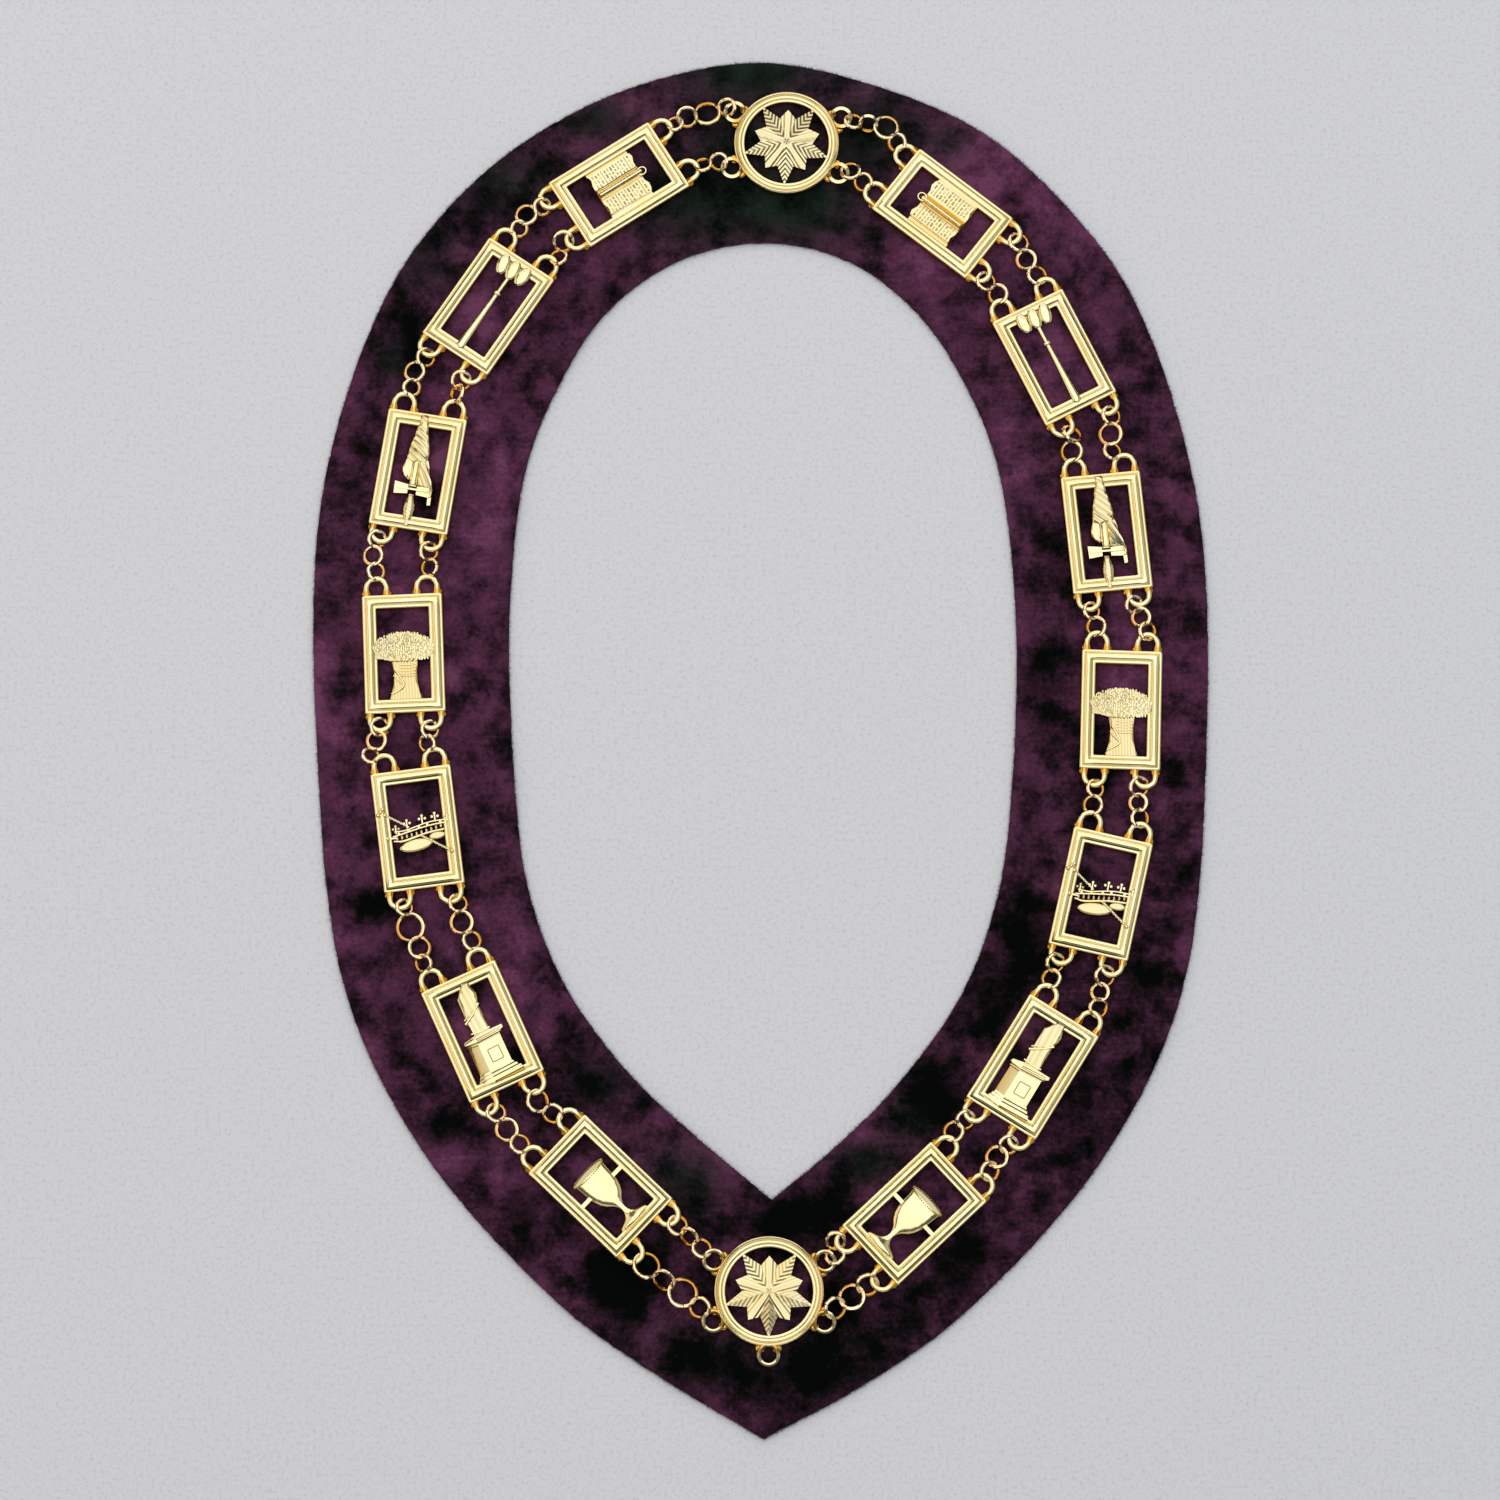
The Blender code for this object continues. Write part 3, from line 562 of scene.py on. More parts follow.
# A painted grey sheen, the reflection off the pile, given in place of purple.
GREY_SHEEN_PATCHES = (
    # x, y, reach in x, reach in y, how far it goes grey
    (-2, 258, 36, 14, 1.1), (-62, 240, 18, 12, 0.8), (44, 234, 20, 18, 0.9),
    (74, 230, 14, 12, 0.5), (-98, 214, 22, 15, 0.8), (-24, 206, 34, 20, 0.9),
    (18, 206, 30, 22, 1.0), (-8, 234, 26, 14, 0.7), (-128, 182, 18, 14, 0.5),
    (-138, 144, 10, 11, 0.7), (56, -145, 12, 9, 0.6), (40, -161, 13, 9, 0.9),
    (-28, -168, 18, 15, 0.8), (-56, -131, 12, 10, 0.5), (0, -230, 44, 13, 0.4),
)
PATCH_END = 4.0
PATCH_FADE = 1.4


def charted(patches, x, y):
    """The sum of a chart's patches at a point of the cloth. Each fades out by twice its reach."""
    total = 0.0
    for patch_x, patch_y, wide, long, strength in patches:
        reach = ((x - patch_x) / wide) ** 2 + ((y - patch_y) / long) ** 2
        if reach < PATCH_END:
            total += strength * math.exp(-reach * PATCH_FADE)
    return total


def velvet_finish():
    """Crushed pile, painted in shade and sheen from near black through plum to a lit purple, and in a grey
    sheen where charted.
    """
    material, tree, shader = finish(
        "purple_velvet", Roughness=0.9, Specular_IOR_Level=0.02, Sheen_Weight=0.02,
        Sheen_Roughness=0.4, Sheen_Tint=(0.8, 0.4, 0.7, 1.0),
    )
    place = node(tree, "TexCoord", "Object")
    lean = node(tree, "Attribute", "Fac", attribute_name="lean")
    mixed = node(tree, "Math", "Value", [(0, lean), (1, 0.55), (2, 0.0)], operation="MULTIPLY_ADD")
    rows = node(tree, "Mapping", "Vector", [("Vector", place), ("Scale", (60.0, 700.0, 60.0))])
    fine = cloud(tree, place, 700.0, 3.0, 0.6)
    crushed = ranged(tree, cloud(tree, place, 85.0, 4.0, 0.6), 0.28, 0.56)
    for pattern, share in (
        (cloud(tree, place, 60.0, 5.0, 0.6), 0.9), (crushed, 0.40),
        (cloud(tree, rows, 1.0, 2.0), 0.15), (fine, 0.50),
    ):
        sum_inputs = [(0, pattern), (1, share), (2, mixed)]
        mixed = node(tree, "Math", "Value", sum_inputs, operation="MULTIPLY_ADD")
    # The tone is painted light: low for the shade of pile that leans away, high for the sheen of pile that
    # leans towards the light.
    tone = ranged(tree, mixed, 0.68, 1.44)
    colour = ramp(
        tree, tone,
        (0.0, (0.0015, 0.0025, 0.0019)), (0.2, (0.0085, 0.0052, 0.0070)),
        (0.4, (0.0290, 0.0102, 0.0220)), (0.6, (0.062, 0.0205, 0.0455)),
        (0.8, (0.098, 0.0285, 0.0700)), (1.0, (0.150, 0.0470, 0.1080)),
    )
    # The grey of the painted sheen, at the same tone as the purple.
    grey_sheen_tone = ramp(
        tree, tone,
        (0.0, (0.0020, 0.0036, 0.0028)), (0.5, (0.0092, 0.0158, 0.0122)),
        (1.0, (0.018, 0.029, 0.023)),
    )
    grey_sheen = node(tree, "Attribute", "Fac", attribute_name="grey_sheen")
    tree.links.new(blended(tree, grey_sheen, colour, grey_sheen_tone), shader.inputs["Base Color"])
    tree.links.new(bumped(tree, fine, 0.8, 0.0006), shader.inputs["Normal"])
    return material


purple_velvet = velvet_finish()
velvet = finished("velvet", velvet_band(), purple_velvet)
for attribute, patches in (("lean", NAP_SHADE_PATCHES), ("grey_sheen", GREY_SHEEN_PATCHES)):
    layer = velvet.data.attributes.new(attribute, "FLOAT", "POINT")
    amounts = [charted(patches, vert.co.x / MM, vert.co.y / MM) for vert in velvet.data.vertices]
    layer.data.foreach_set("value", amounts)
in_place(velvet, "velvet_backing")
print("velvet faces:", len(velvet.data.polygons))

# %% [markdown]
# Where the cloth is cut, loose pile stands out from its edge and catches the light. One fibre, a
# thin three-sided spike, is doubled until there are enough, and each one is then stood somewhere
# along the edge at its own angle.

# %% Velvet edge pile
FIBRE_DOUBLINGS = 14
FIBRE_THICK = 0.09


def edge_pile():
    draw = random.Random(7)
    one = bmesh.new()
    bmesh.ops.create_cone(
        one, cap_ends=True, segments=3, radius1=FIBRE_THICK, radius2=0.01, depth=1.0,
        matrix=Matrix.Translation((0.0, 0.0, 0.5)),
    )
    each = len(one.verts)
    held = bpy.data.meshes.new("fibres")
    one.to_mesh(held)
    one.free()
    for _ in range(FIBRE_DOUBLINGS):
        bm = bmesh.new()
        bm.from_mesh(held)
        bm.from_mesh(held)
        bm.to_mesh(held)
        bm.free()
    bm = bmesh.new()
    bm.from_mesh(held)
    bpy.data.meshes.remove(held)
    bm.verts.ensure_lookup_table()
    edges = [(outer_edge, 1.0)] * 3 + [(inner_edge, -1.0)] * 2
    for first in range(0, len(bm.verts), each):
        points, side = edges[draw.randrange(len(edges))]
        index = draw.randrange(len(points))
        start, end = points[index - 1], points[index]
        along = (end - start).normalized()
        out = Vector((-along.y, along.x, 0.0)) * side
        root = start.lerp(end, draw.random()) - 0.3 * out
        root.z = draw.uniform(0.5, VELVET_THICK - 0.2) + velvet_lift(root)
        rise = max(-0.1, draw.gauss(0.1, 0.3))
        aim = out + along * draw.gauss(0.0, 0.55) + Vector((0.0, 0.0, rise))
        length = min(1.6, abs(draw.gauss(0.7, 0.3)) + 0.2)
        matrix = Matrix.Translation(root) @ aim.to_track_quat("Z", "Y").to_matrix().to_4x4()
        matrix = matrix @ Matrix.Diagonal((1.0, 1.0, length, 1.0))
        for vert in bm.verts[first:first + each]:
            vert.co = matrix @ vert.co
    return bm


def pile_finish():
    material, tree, shader = finish("purple_fibre", Roughness=0.8, Sheen_Weight=0.4)
    place = node(tree, "TexCoord", "Object")
    shade = cloud(tree, place, 150.0)
    tone = ramp(tree, shade, (0.35, (0.022, 0.006, 0.018)), (0.65, (0.10, 0.028, 0.085)))
    tree.links.new(tone, shader.inputs["Base Color"])
    return material


fuzz = finished("velvet_edge_pile", edge_pile(), pile_finish())
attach(fuzz, "root")
print("fibres:", 2 ** FIBRE_DOUBLINGS)

# %% [markdown]
# ## Cast shapes
# The castings are put together from a few kinds of closed shape: plates with a rounded upper edge,
# profiles turned on a lathe, low bars, balls, and round wires that follow a path. Each helper
# starts from a bmesh operator, so a shape stays easy to read and to change.

# %% Heights of the castings
METAL_BASE = 2.3
EMBLEM_BASE = 3.1
CHAIN_HEIGHT = 5.0


# %% Plates, bars and balls
def plate(outline, low, high, edge=0.4, segments=2):
    """An outline in the XY plane, raised from low to high, its upper edge rounded."""
    bm = bmesh.new()
    face = bm.faces.new([bm.verts.new((x, y, low)) for x, y in outline])
    top = points_in(bmesh.ops.extrude_face_region(bm, geom=[face])["geom"])
    bmesh.ops.translate(bm, verts=top, vec=(0.0, 0.0, high - low))
    closed(bm)
    if edge:
        middle = (low + high) / 2
        upper = [item for item in bm.edges if min(vert.co.z for vert in item.verts) > middle]
        rounded(bm, upper, edge, segments, clamp=True)
    return bm


def relief(outline, high, edge=0.4, segments=2):
    """A plate that rises from the back of the emblems."""
    return plate(outline, EMBLEM_BASE, high, edge, segments)


def bar(start, end, wide, low, high, slope=0.3):
    """A low bar between two points, its sides sloping in towards the top."""
    bm = bmesh.new()
    run = Vector(end) - Vector(start)
    place = Matrix.Translation((*((Vector(start) + Vector(end)) / 2), (low + high) / 2))
    place = place @ Matrix.Rotation(math.atan2(run.y, run.x), 4, "Z")
    bmesh.ops.create_cube(bm, size=1.0)
    for vert in bm.verts:
        taper = 1.0 - slope if vert.co.z > 0.0 else 1.0
        end_taper = wide * (1.0 - taper)
        vert.co.x *= run.length - end_taper
        vert.co.y *= wide * taper
        vert.co.z *= high - low
    bmesh.ops.transform(bm, verts=bm.verts, matrix=place)
    return bm


def ball(place, wide, long=None, tall=None, fineness=1):
    """A ball, or an egg where its sizes differ."""
    bm = bmesh.new()
    size = Matrix.Diagonal((wide / 2, (long or wide) / 2, (tall or wide) / 2, 1.0))
    place = Matrix.Translation(place) @ size
    bmesh.ops.create_icosphere(bm, subdivisions=fineness, radius=1.0, matrix=place)
    return bm


# %% Turned shapes and wires
def turned(profile, sides, flat, height):
    """A profile of (radius, distance along Y) turned about the Y axis, its depth scaled by flat."""
    bm = bmesh.new()
    points = [bm.verts.new((radius, along, 0.0)) for radius, along in profile]
    spun(bm, points + joined(bm, points, closes=False), (0, 1, 0), sides)
    bmesh.ops.scale(bm, verts=bm.verts, vec=(1.0, 1.0, flat))
    bmesh.ops.translate(bm, verts=bm.verts, vec=(0.0, 0.0, height))
    return closed(bm)


def wire(points, thick, closed_path=False, fineness=2):
    """A round wire through points, as a curve that is made a mesh."""
    curve = bpy.data.curves.new("wire", "CURVE")
    curve.dimensions = "3D"
    curve.bevel_depth = thick / 2
    curve.bevel_resolution = fineness - 1
    curve.use_fill_caps = True
    path = curve.splines.new("POLY")
    path.points.add(len(points) - 1)
    for held, point in zip(path.points, points):
        held.co = (*point, 1.0)
    path.use_cyclic_u = closed_path
    holder = bpy.data.objects.new("wire", curve)
    mesh = bpy.data.meshes.new_from_object(holder)
    bm = bmesh.new()
    bm.from_mesh(mesh)
    bpy.data.objects.remove(holder)
    bpy.data.curves.remove(curve)
    bpy.data.meshes.remove(mesh)
    return closed(bm)


def bent(points, height, steps=4):
    """A smooth path through a few points of (x, y), all at one height."""
    held = [Vector((x, y, height)) for x, y in points]
    return smooth_path(held, steps) + [held[-1]]


# %% [markdown]
# Much of the relief is fine parallel ribs: straw, twisted cloth, engraved rays. They are cut into a
# plate's upper side with parallel planes, and every other cut is raised a little. The cuts between
# are painted dark, as the shade in the valleys.


# %% Ribs
CREST_ABOVE_BACK = 0.2


def ribbed(shape, turn, pitch, rise, patina_and_shade):
    """Ribs on a shape's upper side, with painted shade in the valleys between them. Turn is the direction
    across them, in degrees.
    """
    across = Vector((math.cos(math.radians(turn)), math.sin(math.radians(turn)), 0.0))
    places = [vert.co.dot(across) for vert in shape.verts]
    low = min(vert.co.z for vert in shape.verts)
    layer = shape.verts.layers.float.get("patina_and_shade") or shape.verts.layers.float.new("patina_and_shade")
    crests = set()
    valleys = set()
    for step in range(math.ceil(2 * min(places) / pitch), math.ceil(2 * max(places) / pitch)):
        line = crests if step % 2 else valleys
        line.update(sliced(shape, across * step * pitch / 2, across))
    for vert in crests:
        if vert.is_valid and vert.co.z > low + CREST_ABOVE_BACK:
            vert.co.z += rise
    for vert in valleys:
        if vert.is_valid:
            vert[layer] = patina_and_shade
    return shape


# %% [markdown]
# ## Plaque frame
# Every plaque has the same moulded frame: a lip, a groove, a broad rounded bead, a second groove
# and an inner lip, mitred at the corners. The moulding is drawn once as a section that stands at a
# corner. A spin of only four steps turns it into a square ring with true mitres, which is then
# drawn out to the plaque's length.
#
# Each bar's grooves are painted dark for shade and for the dark surroundings that the bead's slopes
# reflect, so each bar takes its own painted shade: most beside the slopes that face right or the
# chest, and hardly any elsewhere.

# %% Moulding
PLAQUE_WIDE = 30.4
PLAQUE_LONG = 45.6
PLAQUE_BAR = 5.5
CORNER = 0.6
MOULDING = (
    # distance in from the outer side, height above the back
    (0.0, 0.0), (0.0, 2.3), (0.12, 2.65), (0.35, 2.9), (0.65, 3.0), (0.95, 2.98), (1.12, 2.88),
    (1.2, 2.7), (1.3, 2.7), (1.45, 2.95), (1.75, 3.18), (2.1, 3.38), (2.4, 3.5), (2.7, 3.53),
    (3.0, 3.49), (3.35, 3.34), (3.65, 3.14), (3.85, 2.95), (3.98, 2.7), (4.08, 2.7), (4.16, 2.88),
    (4.3, 2.98), (4.6, 3.05), (5.1, 2.98), (5.38, 2.7), (5.5, 2.3), (5.5, 0.0),
)
GROOVE_HEIGHT = 2.7
BEAD_FOOT = 2.95
BEAD_SLOPE = (3.18, 3.14)
# Painted shade in the grooves, as a dark colour: faint, beside the slopes that face right, and round the
# medallions.
FAINT_SHADE = 0.2
RIGHT_SHADE = 0.62
MEDALLION_GROOVE_SHADE = 0.45
FOOT_GAIN = 1.4
FOOT_LOSS = 0.4
SLOPE_GAIN = 2.0
SLOPE_LOSS = 1.4
MITRE_CUT = 0.3
CORNER_REACH = 0.8


def section_points(bm, section):
    """Points in the XZ plane for (x, height) rows, with painted shade at the bottoms of the grooves."""
    layer = bm.verts.layers.float.new("patina_and_shade")
    points = []
    for index, (x, height) in enumerate(section):
        point = bm.verts.new((x, 0.0, METAL_BASE + height))
        is_end = index < 3 or index > len(section) - 4
        if height == GROOVE_HEIGHT and not is_end:
            point[layer] = MEDALLION_GROOVE_SHADE
        points.append(point)
    return points


def groove_shade(x, y, chest_shade):
    """A groove's painted shade at a point: most where the bead's slope faces right or the chest."""
    from_side = PLAQUE_WIDE / 2 - abs(x)
    from_end = PLAQUE_LONG / 2 - abs(y)
    is_outer = min(from_side, from_end) < PLAQUE_BAR / 2
    if from_side < from_end:
        return RIGHT_SHADE if (x > 0.0) == is_outer else FAINT_SHADE
    return chest_shade if (y < 0.0) == is_outer else FAINT_SHADE


def plaque_frame(chest_shade):
    """A mitred frame. Where a groove's painted shade is strong, it creeps up the foot of the bead."""
    bm = bmesh.new()
    half = PLAQUE_WIDE / 2
    points = section_points(bm, [(half - inset, height) for inset, height in MOULDING])
    for point in points:
        point.co.y = point.co.x
    spun(bm, points + joined(bm, points), (0, 0, 1), 4)
    for vert in bm.verts:
        vert.co.y += math.copysign((PLAQUE_LONG - PLAQUE_WIDE) / 2, vert.co.y)
    closed(bm)
    for across, far in (
        (Vector((1.0, 0.0, 0.0)), PLAQUE_WIDE / 2), (Vector((0.0, 1.0, 0.0)), PLAQUE_LONG / 2),
    ):
        for side in (-1.0, 1.0):
            sliced(bm, across * side * (far - PLAQUE_BAR - MITRE_CUT), across)
    layer = bm.verts.layers.float["patina_and_shade"]
    for vert in bm.verts:
        height = round(vert.co.z - METAL_BASE, 3)
        amount = groove_shade(vert.co.x, vert.co.y, chest_shade)
        if height == GROOVE_HEIGHT:
            vert[layer] = amount
        elif height == BEAD_FOOT:
            vert[layer] = max(0.0, FOOT_GAIN * amount - FOOT_LOSS)
        elif height in BEAD_SLOPE:
            vert[layer] = max(0.0, SLOPE_GAIN * amount - SLOPE_LOSS)
    rounded(bm, [edge for edge in bm.edges if is_outer_corner(edge)], CORNER, 2)
    return bm


def is_outer_corner(edge):
    """Whether an edge runs up an outer corner and over the lip."""
    least_x, least_y = PLAQUE_WIDE / 2 - CORNER_REACH, PLAQUE_LONG / 2 - CORNER_REACH
    return all(abs(vert.co.x) > least_x and abs(vert.co.y) > least_y for vert in edge.verts)


# %% [markdown]
# Two round loops stand on each short side and carry the rings. Each is a wire bent over in an
# arch: a circle of points spun half a turn, with its two ends drawn down as legs that flare where
# they run into the frame, and a bead of metal at each root. The legs, the underside and the beads
# are painted a deep gold as shade, and the crown of the arch keeps the bright gold.

# %% Cast loops
LOOP_OUTER = 5.0
LOOP_WIRE = 2.35
LOOP_HEIGHT = 4.65
LOOP_APART = 19.0
LOOP_OUT = 2.4
LOOP_LEG = 3.2
ROOT_SIZE = (3.7, 3.2, 2.1)
# Painted shade, as deep gold, on the beads at the roots.
ROOT_SHADE = 0.9
UNDERSIDE = 0.5
UNDERSIDE_FADE = 0.8


def root_bead(place, size):
    """A bead of metal where a loop or an eye grows out of its casting, painted deep gold as shade."""
    return marked(ball(place, *size, fineness=2), "recess_shade", lambda point: ROOT_SHADE)


def loop_shade(point):
    """How much deep gold is painted on a loop as shade: most on its legs and its underside."""
    return max((0.3 - point.y) / 1.8, (UNDERSIDE - point.z) / UNDERSIDE_FADE)


def cast_loop(x, y, turn):
    """A wire arch on flared legs, its crown pointing along +Y before it is turned."""
    bm = bmesh.new()
    radius = LOOP_OUTER - LOOP_WIRE / 2
    upright = Matrix.Translation((radius, 0.0, 0.0)) @ Matrix.Rotation(math.pi / 2, 4, "X")
    bmesh.ops.create_circle(bm, segments=10, radius=LOOP_WIRE / 2, matrix=upright)
    spun(bm, bm.verts[:] + bm.edges[:], (0, 0, 1), 14, math.pi)
    for side in (1.0, -1.0):
        ends = [edge for edge in bm.edges if edge.is_boundary and edge.verts[0].co.x * side > 0.0]
        for share, flare, sink in ((0.45, 1.15, 0.3), (0.55, 1.25, 0.6)):
            grown = bmesh.ops.extrude_edge_only(bm, edges=ends)["geom"]
            verts = points_in(grown)
            ends = [item for item in grown if isinstance(item, bmesh.types.BMEdge)]
            middle = Matrix.Translation((-radius * side, 0.0, 0.0))
            bmesh.ops.scale(bm, verts=verts, vec=(flare, 1.0, 1.0), space=middle)
            bmesh.ops.translate(bm, verts=verts, vec=(0.0, -share * LOOP_LEG, -sink))
            for vert in verts:
                vert.co.z = max(vert.co.z, METAL_BASE - LOOP_HEIGHT)
        bmesh.ops.holes_fill(bm, edges=ends)
    return moved(marked(closed(bm), "recess_shade", loop_shade), x, y, LOOP_HEIGHT, turn)


def plaque_loops():
    """Two loops on each short side, with a bead at each root."""
    out = PLAQUE_LONG / 2 + LOOP_OUT
    root_y = PLAQUE_LONG / 2 + 0.7
    for x in (-LOOP_APART / 2, LOOP_APART / 2):
        for end, turn in ((1, 0), (-1, 180)):
            yield cast_loop(x, end * out, turn)
            for side in (-1, 1):
                root = (x + side * (LOOP_OUTER - 1.0), end * root_y, LOOP_HEIGHT - 1.3)
                yield root_bead(root, ROOT_SIZE)


# %% [markdown]
# ## Emblems
# Each emblem is cast with its frame and overlaps it here and there. The seven are modelled one by
# one: an open book, a gavel, a sword with a veil, a sheaf, a crown with a sceptre, a broken column
# and a cup.
#
# The book lies open, with a ribbed spine between two domed pages. Rows of short raised dashes stand
# for its lines of text.

# %% Book
PAGE_DOME = (
    # x, height
    (-10.9, 4.3), (-8.5, 4.7), (-8.1, 6.15), (-6.4, 6.35), (-4.2, 6.3), (-2.5, 6.05), (-1.7, 5.5),
    (-1.4, 4.6), (-1.1, 4.6), (-0.8, 5.9), (-0.2, 6.35), (0.4, 6.3), (1.9, 4.7), (2.3, 5.7),
    (4.0, 6.15), (6.0, 6.35), (8.0, 6.3), (8.9, 6.0), (9.3, 5.6), (10.9, 5.2),
)
BOOK_ENDS = (-8.9, 9.4)


def page_height(x):
    """The height of the open book's upper side."""
    for (x0, low), (x1, high) in zip(PAGE_DOME, PAGE_DOME[1:]):
        if x0 <= x <= x1:
            return low + (high - low) * (x - x0) / (x1 - x0)
    return EMBLEM_BASE


def book():
    draw = random.Random(3)
    section = [*PAGE_DOME, (10.9, EMBLEM_BASE), (-10.9, EMBLEM_BASE)]
    block = plate(section, *BOOK_ENDS, edge=0)
    bmesh.ops.rotate(block, verts=block.verts, matrix=Matrix.Rotation(math.pi / 2, 3, "X"))
    bmesh.ops.scale(block, verts=block.verts, vec=(1.0, -1.0, 1.0))
    for vert in block.verts:
        vert.co.y += 0.55 * math.cos(vert.co.x * 0.95) * (1.0 if vert.co.y > 0.0 else 0.8)
    shapes = [darkened(closed(block), 0.1)]
    for left, right in ((-7.9, -2.2), (2.9, 8.8)):
        for row in range(13):
            y = -7.5 + 1.3 * row
            x = left + draw.uniform(0.0, 0.5)
            if row in (3, 11):
                top = page_height((left + right) / 2) + 0.25
                shapes.append(darkened(bar((left, y), (right, y), 0.4, 5.4, top), 0.7))
                continue
            while x < right - 0.5:
                end = min(right, x + draw.uniform(0.9, 2.0))
                top = page_height((x + end) / 2) + 0.25
                dash = bar((x, y), (end, y), 0.85, top - 0.7, top, 0.3)
                shapes.append(darkened(dash, draw.uniform(0.35, 0.8)))
                x = end + draw.uniform(0.3, 0.5)
    for x in (-8.3, 9.1):
        shapes.append(bar((x, -8.6), (x, 9.0), 0.3, 4.6, page_height(x) + 0.12))
    ribbon = [(0.3 + 1.5 * math.cos(a), 10.0 + 1.7 * math.sin(a), 5.4) for a in turns(14)]
    shapes.append(wire(ribbon, 0.75, closed_path=True))
    return shapes


# %% [markdown]
# The gavel's head is three round barrels side by side, the outer two leaning out. Their rims are
# painted dark as the shade between them, which parts them. The handle is turned, with a collar near
# the head and a pointed butt that lies over the frame.


# %% Gavel
def rim_shade(point):
    """Painted shade on a barrel at a point: dark round its rim and faint inside it."""
    is_rim = math.hypot(point.x / 2.45, point.y / 4.3) > 0.96
    return 0.5 if is_rim else 0.05


def gavel():
    barrel = (
        (0.0, -3.7), (1.0, -3.7), (1.55, -3.3), (2.05, -2.2), (2.4, -0.8), (2.45, 0.4), (2.25, 1.8),
        (1.8, 3.1), (1.1, 4.0), (0.0, 4.3),
    )
    handle = (
        (0.0, 13.6), (0.9, 13.2), (0.75, 12.0), (0.72, 6.7), (1.3, 6.4), (1.45, 5.9), (1.3, 5.4),
        (0.8, 5.1), (0.95, 0.0), (1.25, -8.0), (1.5, -13.0), (1.75, -18.2), (1.65, -19.2), (0.0, -21.2),
    )
    shapes = [turned(handle, 16, 0.7, 5.1)]
    for x, lean in ((-4.5, 8), (0.0, 0), (4.5, -8)):
        # The rims are painted dark, as the shade between the barrels.
        head = marked(turned(barrel, 24, 0.48, 5.6), "patina_and_shade", rim_shade)
        shapes.append(moved(head, x, 16.4, 0.0, lean))
    return shapes


# %% [markdown]
# The sword points to the neck. A veil is wound round its blade like a rope, falls over one arm of
# the guard and ends in a strap. The grip is turned and scored.


# %% Sword and veil
def sword():
    wound = (
        (-2.4, 21.9), (-2.5, 18.0), (-3.3, 16.0), (-3.6, 13.0), (-4.3, 11.0), (-4.8, 7.0),
        (-5.1, 4.0), (-3.4, 2.6), (-1.0, 3.4), (1.2, 3.0), (3.2, 3.6), (3.3, 8.0), (2.4, 12.0),
        (1.5, 16.0), (1.0, 19.0), (0.5, 21.9),
    )
    fold = (
        (-5.1, 4.4), (-6.2, 0.4), (-5.9, -1.2), (-5.0, -2.6), (-3.2, -3.9), (-2.0, -3.6), (-1.8, 3.8),
    )
    fall = (
        (0.3, 4.6), (3.4, 4.6), (4.3, 1.5), (4.8, -1.0), (6.0, -4.0), (6.7, -6.5), (6.7, -9.3),
        (5.6, -9.7), (5.2, -6.2), (0.7, -5.6),
    )
    left_arm = ((-8.0, -4.8), (-2.4, -5.6), (-2.4, -9.3), (-7.8, -9.9))
    right_arm = ((0.6, -5.9), (5.6, -5.6), (5.7, -9.8), (0.6, -9.4))
    blade = ((-2.2, 3.4), (-0.8, 4.4), (0.5, 3.4), (0.4, -6.2), (-2.3, -6.2))
    strap = ((5.1, -9.2), (6.7, -9.2), (6.8, -12.4), (5.4, -12.7))
    grip = (
        (0.0, -9.2), (1.2, -9.3), (1.1, -10.0), (1.7, -11.2), (2.3, -13.6), (2.4, -15.0),
        (2.1, -17.2), (1.4, -19.0), (1.3, -19.6), (1.5, -20.2), (1.2, -21.4), (0.0, -21.7),
    )
    turned_grip = moved(darkened(turned(grip, 14, 0.8, 4.8), 0.12), -1.0)
    return [
        ribbed(relief(wound, 6.0, 0.9, 3), 50, pitch=2.1, rise=0.42, patina_and_shade=0.5),
        ribbed(relief(fold, 6.0, 0.9, 3), 20, pitch=1.5, rise=0.14, patina_and_shade=0.2),
        ribbed(relief(fall, 6.0, 0.8, 3), 28, pitch=1.4, rise=0.3, patina_and_shade=0.4),
        relief(blade, 6.45, 0.8, 1),
        relief(left_arm, 6.0, 0.5),
        relief(right_arm, 5.8),
        bar((-7.4, -7.3), (5.4, -7.4), 1.4, 5.4, 6.25, 0.5),
        relief(strap, 5.4, 0.3),
        ribbed(turned_grip, 62, pitch=1.2, rise=0.12, patina_and_shade=0.3),
    ]


# %% [markdown]
# The sheaf is a dome of grain over a waisted bundle of straw. The grains are eggs scattered over
# the dome, each pointing away from the tie, and the dome's outline is stepped with square tips.

# %% Sheaf
EARS = (
    (-11.0, -1.9), (-7.4, -2.2), (-5.0, -3.0), (0.0, -2.8), (3.5, -2.2), (5.0, -2.9), (5.8, -2.3),
    (6.6, -3.1), (7.4, -2.4), (8.2, -2.7), (8.6, -1.6), (9.8, -1.9), (10.9, -0.6), (11.6, 1.0),
    (11.2, 2.8), (10.3, 4.1), (9.6, 4.9), (8.0, 5.2), (7.8, 6.2), (5.6, 6.4), (5.4, 7.3), (3.5, 7.5),
    (1.6, 7.7), (0.6, 8.1), (-0.4, 7.9), (-1.1, 8.4), (-1.7, 7.6), (-3.0, 7.5), (-3.5, 8.3),
    (-4.2, 7.1), (-5.4, 6.9), (-5.9, 5.9), (-8.1, 5.7), (-8.4, 4.9), (-10.2, 4.6), (-10.9, 2.0),
)
STALKS = (
    (-5.0, -2.0), (-4.1, -7.0), (-4.3, -12.0), (-5.5, -16.0), (-6.3, -18.9),
    (7.2, -18.9), (6.0, -15.0), (5.0, -11.0), (4.8, -7.0), (5.6, -2.0),
)


